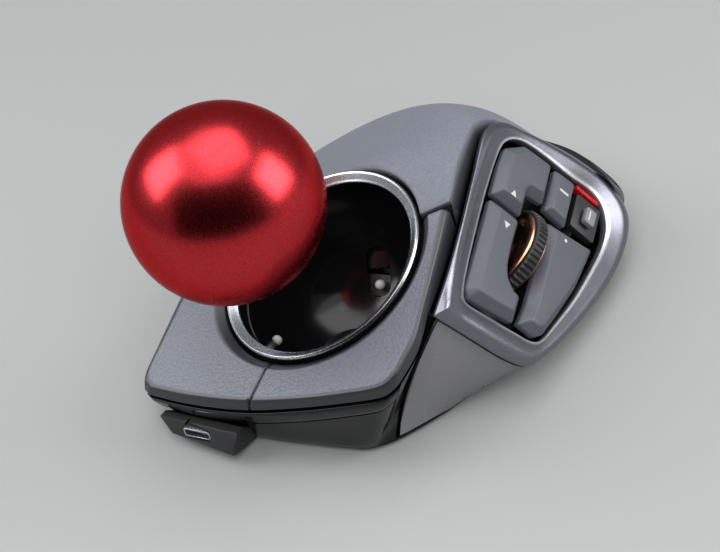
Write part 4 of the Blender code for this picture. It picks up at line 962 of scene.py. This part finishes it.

# %% [markdown]
# ### Pebbled charcoal
# The palm shell has a fine pebble that feels like leather: small rounded cells pressed into a satin
# paint, with painted shade darkening their valleys. The smooth border beside the ring and along the
# front has no pebble, so the border mark that the shells carry fades it out there; the same mark
# also paints the border darker, a painted shade on those bevelled edges.
# %% Pebbled charcoal


def pebble_finish():
    """Rounded cells with painted shade in their valleys, faded out by the border mark, which also paints the
    border darker as a painted shade.
    """
    material = new_finish("charcoal_pebble", (0.095, 0.102, 0.122), 0.42, Specular_IOR_Level=0.6)
    tree = material.node_tree
    cells = pattern(material, "ShaderNodeTexVoronoi", 1.7, Randomness=1.0)
    cells.feature = "SMOOTH_F1"
    cells.inputs["Smoothness"].default_value = 0.35
    fine = pattern(material, "ShaderNodeTexNoise", 2.6, Detail=3.0)
    border = node_of(material, "ShaderNodeAttribute")
    border.attribute_name = "border"
    keep = node_of(material, "ShaderNodeMath")
    keep.operation = "SUBTRACT"
    keep.inputs[0].default_value = 1.0
    tree.links.new(border.outputs["Fac"], keep.inputs[1])
    for texture, depth in ((cells.outputs["Distance"], -0.09), (fine.outputs["Fac"], 0.05)):
        bump = add_bump(material, texture, abs(depth))
        bump.invert = depth < 0
        tree.links.new(keep.outputs[0], bump.inputs["Strength"])
    mix = node_of(material, "ShaderNodeMix")
    mix.data_type = "RGBA"
    # painted shade: this ramp darkens the pebble's valleys, the cell edges, as if shade lay in them
    valley_shade_ramp = node_of(material, "ShaderNodeValToRGB")
    valley_shade_ramp.color_ramp.elements[0].color = (0.130, 0.142, 0.172, 1)
    valley_shade_ramp.color_ramp.elements[1].color = (0.100, 0.110, 0.134, 1)
    valley_shade_ramp.color_ramp.elements[1].position = 0.8
    tree.links.new(cells.outputs["Distance"], valley_shade_ramp.inputs["Fac"])
    tree.links.new(border.outputs["Fac"], mix.inputs["Factor"])
    tree.links.new(valley_shade_ramp.outputs["Color"], mix.inputs["A"])
    # painted shade: the border mark blends the paint to near black on the bevelled edges
    mix.inputs["B"].default_value = (0.012, 0.013, 0.016, 1)
    tree.links.new(mix.outputs["Result"], tree.nodes["Principled BSDF"].inputs["Base Color"])
    vary(material, border.outputs["Fac"], "Roughness", 0.46, 0.38, 0.0, 1.0)
    return material


def key_finish():
    """Smooth matte charcoal with a very fine spark-eroded texture."""
    material = new_finish("charcoal_key", (0.052, 0.056, 0.068), 0.40)
    grain = pattern(material, "ShaderNodeTexNoise", 5.0, Detail=2.0)
    add_bump(material, grain.outputs["Fac"], 0.02)
    wear = pattern(material, "ShaderNodeTexNoise", 0.05, Detail=3.0)
    vary(material, wear.outputs["Fac"], "Roughness", 0.38, 0.46)
    return material


FINISHES = {"charcoal_pebble": pebble_finish(), "charcoal_key": key_finish()}
print("charcoal finishes:", list(FINISHES))

# %% [markdown]
# ### Gloss, paint and metal
# Gloss black and grey are the same polished plastic, with a trace of handling smears in the
# roughness; the grey's lighter colour is a painted reflection of the pale surroundings seen in the
# glossy hollow side. The gunmetal frame is a satin metallic paint: tiny flakes vary its brightness. The
# ring is satin-plated and the wheel's rims are polished copper plate.
# %% Gloss, paint and metal


def gloss_finish(name, colour, roughness):
    """Polished plastic with slow smears in its roughness and a faint ripple."""
    material = new_finish(name, colour, roughness, Specular_IOR_Level=0.3)
    smear = pattern(material, "ShaderNodeTexNoise", 0.08, Detail=5.0)
    vary(material, smear.outputs["Fac"], "Roughness", roughness * 0.8, roughness * 1.5)
    ripple = pattern(material, "ShaderNodeTexNoise", 0.12, Detail=1.0)
    add_bump(material, ripple.outputs["Fac"], 0.012)
    return material


def plain_finish(name, colour, roughness):
    """Matte moulded plastic or rubber with a fine grain."""
    material = new_finish(name, colour, roughness)
    grain = pattern(material, "ShaderNodeTexNoise", 3.0, Detail=3.0)
    add_bump(material, grain.outputs["Fac"], 0.025)
    vary(material, grain.outputs["Fac"], "Roughness", roughness - 0.06, roughness + 0.08)
    return material


def paint_finish():
    """Satin metallic paint with fine flakes; the rim mark blends to a pale metal colour along the inner edge,
    a painted highlight line.
    """
    material = new_finish("gunmetal", (0.16, 0.165, 0.185), 0.27, 0.92)
    tree = material.node_tree
    flakes = pattern(material, "ShaderNodeTexVoronoi", 9.0)
    paint = vary(material, flakes.outputs["Color"], "Base Color", (0.13, 0.135, 0.155), (0.20, 0.205, 0.235),
                 0.2, 0.8)
    rim = node_of(material, "ShaderNodeAttribute")
    rim.attribute_name = "rim"
    mix = node_of(material, "ShaderNodeMix")
    mix.data_type = "RGBA"
    # painted highlight: near-white metal colour along the inner rim
    mix.inputs["B"].default_value = (0.75, 0.76, 0.80, 1)
    tree.links.new(rim.outputs["Fac"], mix.inputs["Factor"])
    tree.links.new(paint, mix.inputs["A"])
    tree.links.new(mix.outputs["Result"], tree.nodes["Principled BSDF"].inputs["Base Color"])
    add_bump(material, flakes.outputs["Distance"], 0.0012)
    return material


def metal_finish(name, colour, roughness):
    """Satin metal whose grain is too fine to see except as a soft edge to its highlights."""
    material = new_finish(name, colour, roughness, 1.0)
    grain = pattern(material, "ShaderNodeTexNoise", 4.0, Detail=2.0)
    vary(material, grain.outputs["Fac"], "Roughness", roughness * 0.95, roughness * 1.08)
    add_bump(material, grain.outputs["Fac"], 0.0008)
    return material


for name, finish, colour, roughness in [
        ("black_gloss", gloss_finish, (0.003, 0.003, 0.0035), 0.14),
        # grey_gloss: painted reflection, a grey colour standing in for the pale surroundings seen in the
        # gloss
        ("grey_gloss", gloss_finish, (0.13, 0.13, 0.134), 0.24),
        ("black_plain", plain_finish, (0.012, 0.012, 0.013), 0.42),
        ("slider", plain_finish, (0.14, 0.14, 0.15), 0.45),
        ("foot", plain_finish, (0.02, 0.02, 0.022), 0.6),
        ("rubber", plain_finish, (0.010, 0.010, 0.011), 0.5),
        ("silver", metal_finish, (0.50, 0.52, 0.56), 0.26),
        ("steel", metal_finish, (0.55, 0.55, 0.56), 0.25),
        ("copper", metal_finish, (0.72, 0.36, 0.22), 0.22),
        ("foil", metal_finish, (0.35, 0.36, 0.38), 0.35)]:
    FINISHES[name] = finish(name, colour, roughness)
FINISHES["gunmetal"] = paint_finish()
print("metal and gloss finishes ready")

# %% [markdown]
# ### The pearl ball, bearings and light
# Pearl red is flakes of mica in a red lacquer under a thick clear coat. The flakes are tiny cells,
# each with its own brightness, on a metallic base, and they spread every light into a broad glow. The
# coat on top is thin and slightly soft, so it adds only a faint second reflection. The bearings are
# polished ceramic and the indicator is clear red plastic.
# %% The pearl ball, bearings and light


def pearl_finish(name):
    """Red mica flakes on a metallic base; the edge tint keeps the outline red at grazing angles."""
    material = new_finish(name, (0.50, 0.016, 0.022), 0.25, 1.0, Coat_Weight=0.20, Coat_Roughness=0.30,
                          Specular_Tint=(0.75, 0.22, 0.24, 1.0))
    flakes = pattern(material, "ShaderNodeTexVoronoi", 9.0)
    vary(material, flakes.outputs["Color"], "Base Color", (0.40, 0.012, 0.018), (0.62, 0.035, 0.045),
         0.1, 0.9)
    clouds = pattern(material, "ShaderNodeTexNoise", 2.2, Detail=4.0)
    vary(material, clouds.outputs["Fac"], "Roughness", 0.23, 0.29)
    return material


def board_finish():
    """Black solder mask with slightly lighter copper tracks under it, as thin lines of bricks."""
    material = new_finish("board", (0.006, 0.010, 0.008), 0.4)
    tracks = pattern(material, "ShaderNodeTexBrick", 0.6)
    vary(material, tracks.outputs["Fac"], "Base Color", (0.005, 0.008, 0.007), (0.016, 0.024, 0.020),
         0.4, 0.6)
    return material


def light_finish():
    """Clear red plastic over an indicator that is off."""
    material = new_finish("led_red", (0.32, 0.006, 0.010), 0.22)
    glow = pattern(material, "ShaderNodeTexNoise", 0.5)
    vary(material, glow.outputs["Fac"], "Roughness", 0.2, 0.35)
    return material


FINISHES["ball_clear"] = pearl_finish("ball_clear")
FINISHES["ball_red"] = pearl_finish("ball_red")
FINISHES["bearing"] = gloss_finish("bearing", (0.42, 0.42, 0.42), 0.12)
FINISHES["board"] = board_finish()
FINISHES["led_red"] = light_finish()

slot_of_node = {row["node"]: row["material_slot"] for row in frame["record"]["subparts"]}
for node, slot in slot_of_node.items():
    nodes[node].data.materials.clear()
    nodes[node].data.materials.append(FINISHES[slot])
for piece in bpy.data.objects:
    if piece.type == "MESH" and piece.get("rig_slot") in FINISHES and "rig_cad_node" not in piece:
        piece.data.materials.clear()
        piece.data.materials.append(FINISHES[piece["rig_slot"]])
print(len(FINISHES), "finishes on", len(slot_of_node), "nodes")

# %% [markdown]
# ## Floor and light
# In a studio such an object stands on a seamless pale floor under large soft boxes. Two
# boxes make the pair of highlights on the ball, and a broad one overhead lights the palm shell. A
# black card in front keeps gloss black black: only reflections see it, so it dims nothing else. A
# fill light from the same side evens out the shadow of the ball, and reflections don't show it. A
# very broad light from the ceiling keeps the floor evenly pale far behind the object.
# %% Floor and light
FLOOR_HALF = 3.0


def make_floor():
    """A broad sheet of pale matte paper at the height of the feet."""
    corners = [(-FLOOR_HALF, -FLOOR_HALF, 0), (FLOOR_HALF, -FLOOR_HALF, 0), (FLOOR_HALF, FLOOR_HALF, 0),
               (-FLOOR_HALF, FLOOR_HALF, 0)]
    mesh = bpy.data.meshes.new("floor")
    mesh.from_pydata(corners, [], [(0, 1, 2, 3)])
    floor = add_object("floor", mesh)
    material = new_finish("floor_paper", (0.250, 0.255, 0.252), 0.9, Specular_IOR_Level=0.1)
    fibres = pattern(material, "ShaderNodeTexNoise", 1.5, Detail=4.0)
    add_bump(material, fibres.outputs["Fac"], 0.02, 0.3)
    mesh.materials.append(material)


def soft_box(name, direction, distance, size, power, colour=(1.0, 1.0, 1.0)):
    """A square area light that looks at the middle of the object from a direction."""
    light = bpy.data.lights.new(name, "AREA")
    light.shape = "SQUARE"
    light.size = size
    light.energy = power
    light.color = colour
    lamp = add_object(name, light)
    way = Vector(direction).normalized()
    lamp.location = way * distance + Vector((0, 0, 0.03))
    lamp.rotation_euler = way.to_track_quat("Z", "Y").to_euler()
    return lamp


def black_card(direction, distance, half_width, half_height):
    """A card that only reflections see, facing the middle of the object from a direction."""
    way = Vector(direction).normalized()
    side = way.cross((0, 0, 1)).normalized() * half_width
    rise = way.cross(side).normalized() * half_height
    spot = way * distance
    mesh = bpy.data.meshes.new("card")
    mesh.from_pydata([spot + side + rise, spot - side + rise, spot - side - rise, spot + side - rise], [],
                     [(0, 1, 2, 3)])
    mesh.materials.append(new_finish("card_felt", (0.004, 0.004, 0.004), 1.0, Specular_IOR_Level=0.0))
    card = add_object("card", mesh)
    card.visible_camera = card.visible_diffuse = card.visible_shadow = False


make_floor()
black_card((-0.50, 0.76, 0.36), 0.60, 0.70, 0.42)
soft_box("box_right_of_ball", (0.66, 0.385, 0.634), 0.75, 0.45, 3.6)
soft_box("box_left_of_ball", (-0.807, -0.37, 0.464), 0.75, 0.45, 4.2)
soft_box("box_overhead", (-0.05, -0.11, 0.98), 1.1, 0.9, 5.5)
front_fill = soft_box("fill_front_left", (-0.45, 0.60, 0.66), 0.9, 0.6, 6.5)
front_fill.visible_glossy = False
sky_light = bpy.data.lights.new("ceiling", "SUN")
sky_light.energy = 1.3
sky_light.angle = math.radians(70)
add_object("ceiling", sky_light)
world = bpy.data.worlds.new("studio")
bpy.context.scene.world = world
world.use_nodes = True
world.node_tree.nodes["Background"].inputs["Color"].default_value = (0.92, 0.95, 1.0, 1.0)
world.node_tree.nodes["Background"].inputs["Strength"].default_value = 0.30
bpy.context.scene.view_settings.view_transform = "Standard"
print("three soft boxes and a floor", 2 * FLOOR_HALF, "m wide")

# %% [markdown]
# ## Camera
# The view is from the front left, above the thumb side, with a slight roll. The camera's matrix is
# built from the way it looks and the way that points to the right of the view.
# %% Camera
CAMERA_SPOT = np.array([-220.02, 291.47, 272.80])
CAMERA_LOOK = unit((0.50572, -0.63936, -0.57919))
CAMERA_RIGHT = unit((-0.84184, -0.51248, -0.16932))
LENS, SENSOR_WIDTH = 93.09, 36.0

camera_data = bpy.data.cameras.new("view")
camera_data.lens = LENS
camera_data.sensor_width = SENSOR_WIDTH
camera_data.clip_start = 0.01
camera = add_object("view", camera_data)
turn = Matrix((CAMERA_RIGHT, np.cross(CAMERA_RIGHT, CAMERA_LOOK), -CAMERA_LOOK)).transposed()
camera.matrix_world = Matrix.Translation(Vector((CAMERA_SPOT + SHIFT) * MM)) @ turn.to_4x4()
bpy.context.scene.camera = camera
print("camera at", (CAMERA_SPOT + SHIFT).round(1), "mm")

# %% [markdown]
# ## Finish
# The last cell brings the scene up to date.
# %% Finish
bpy.context.view_layer.update()
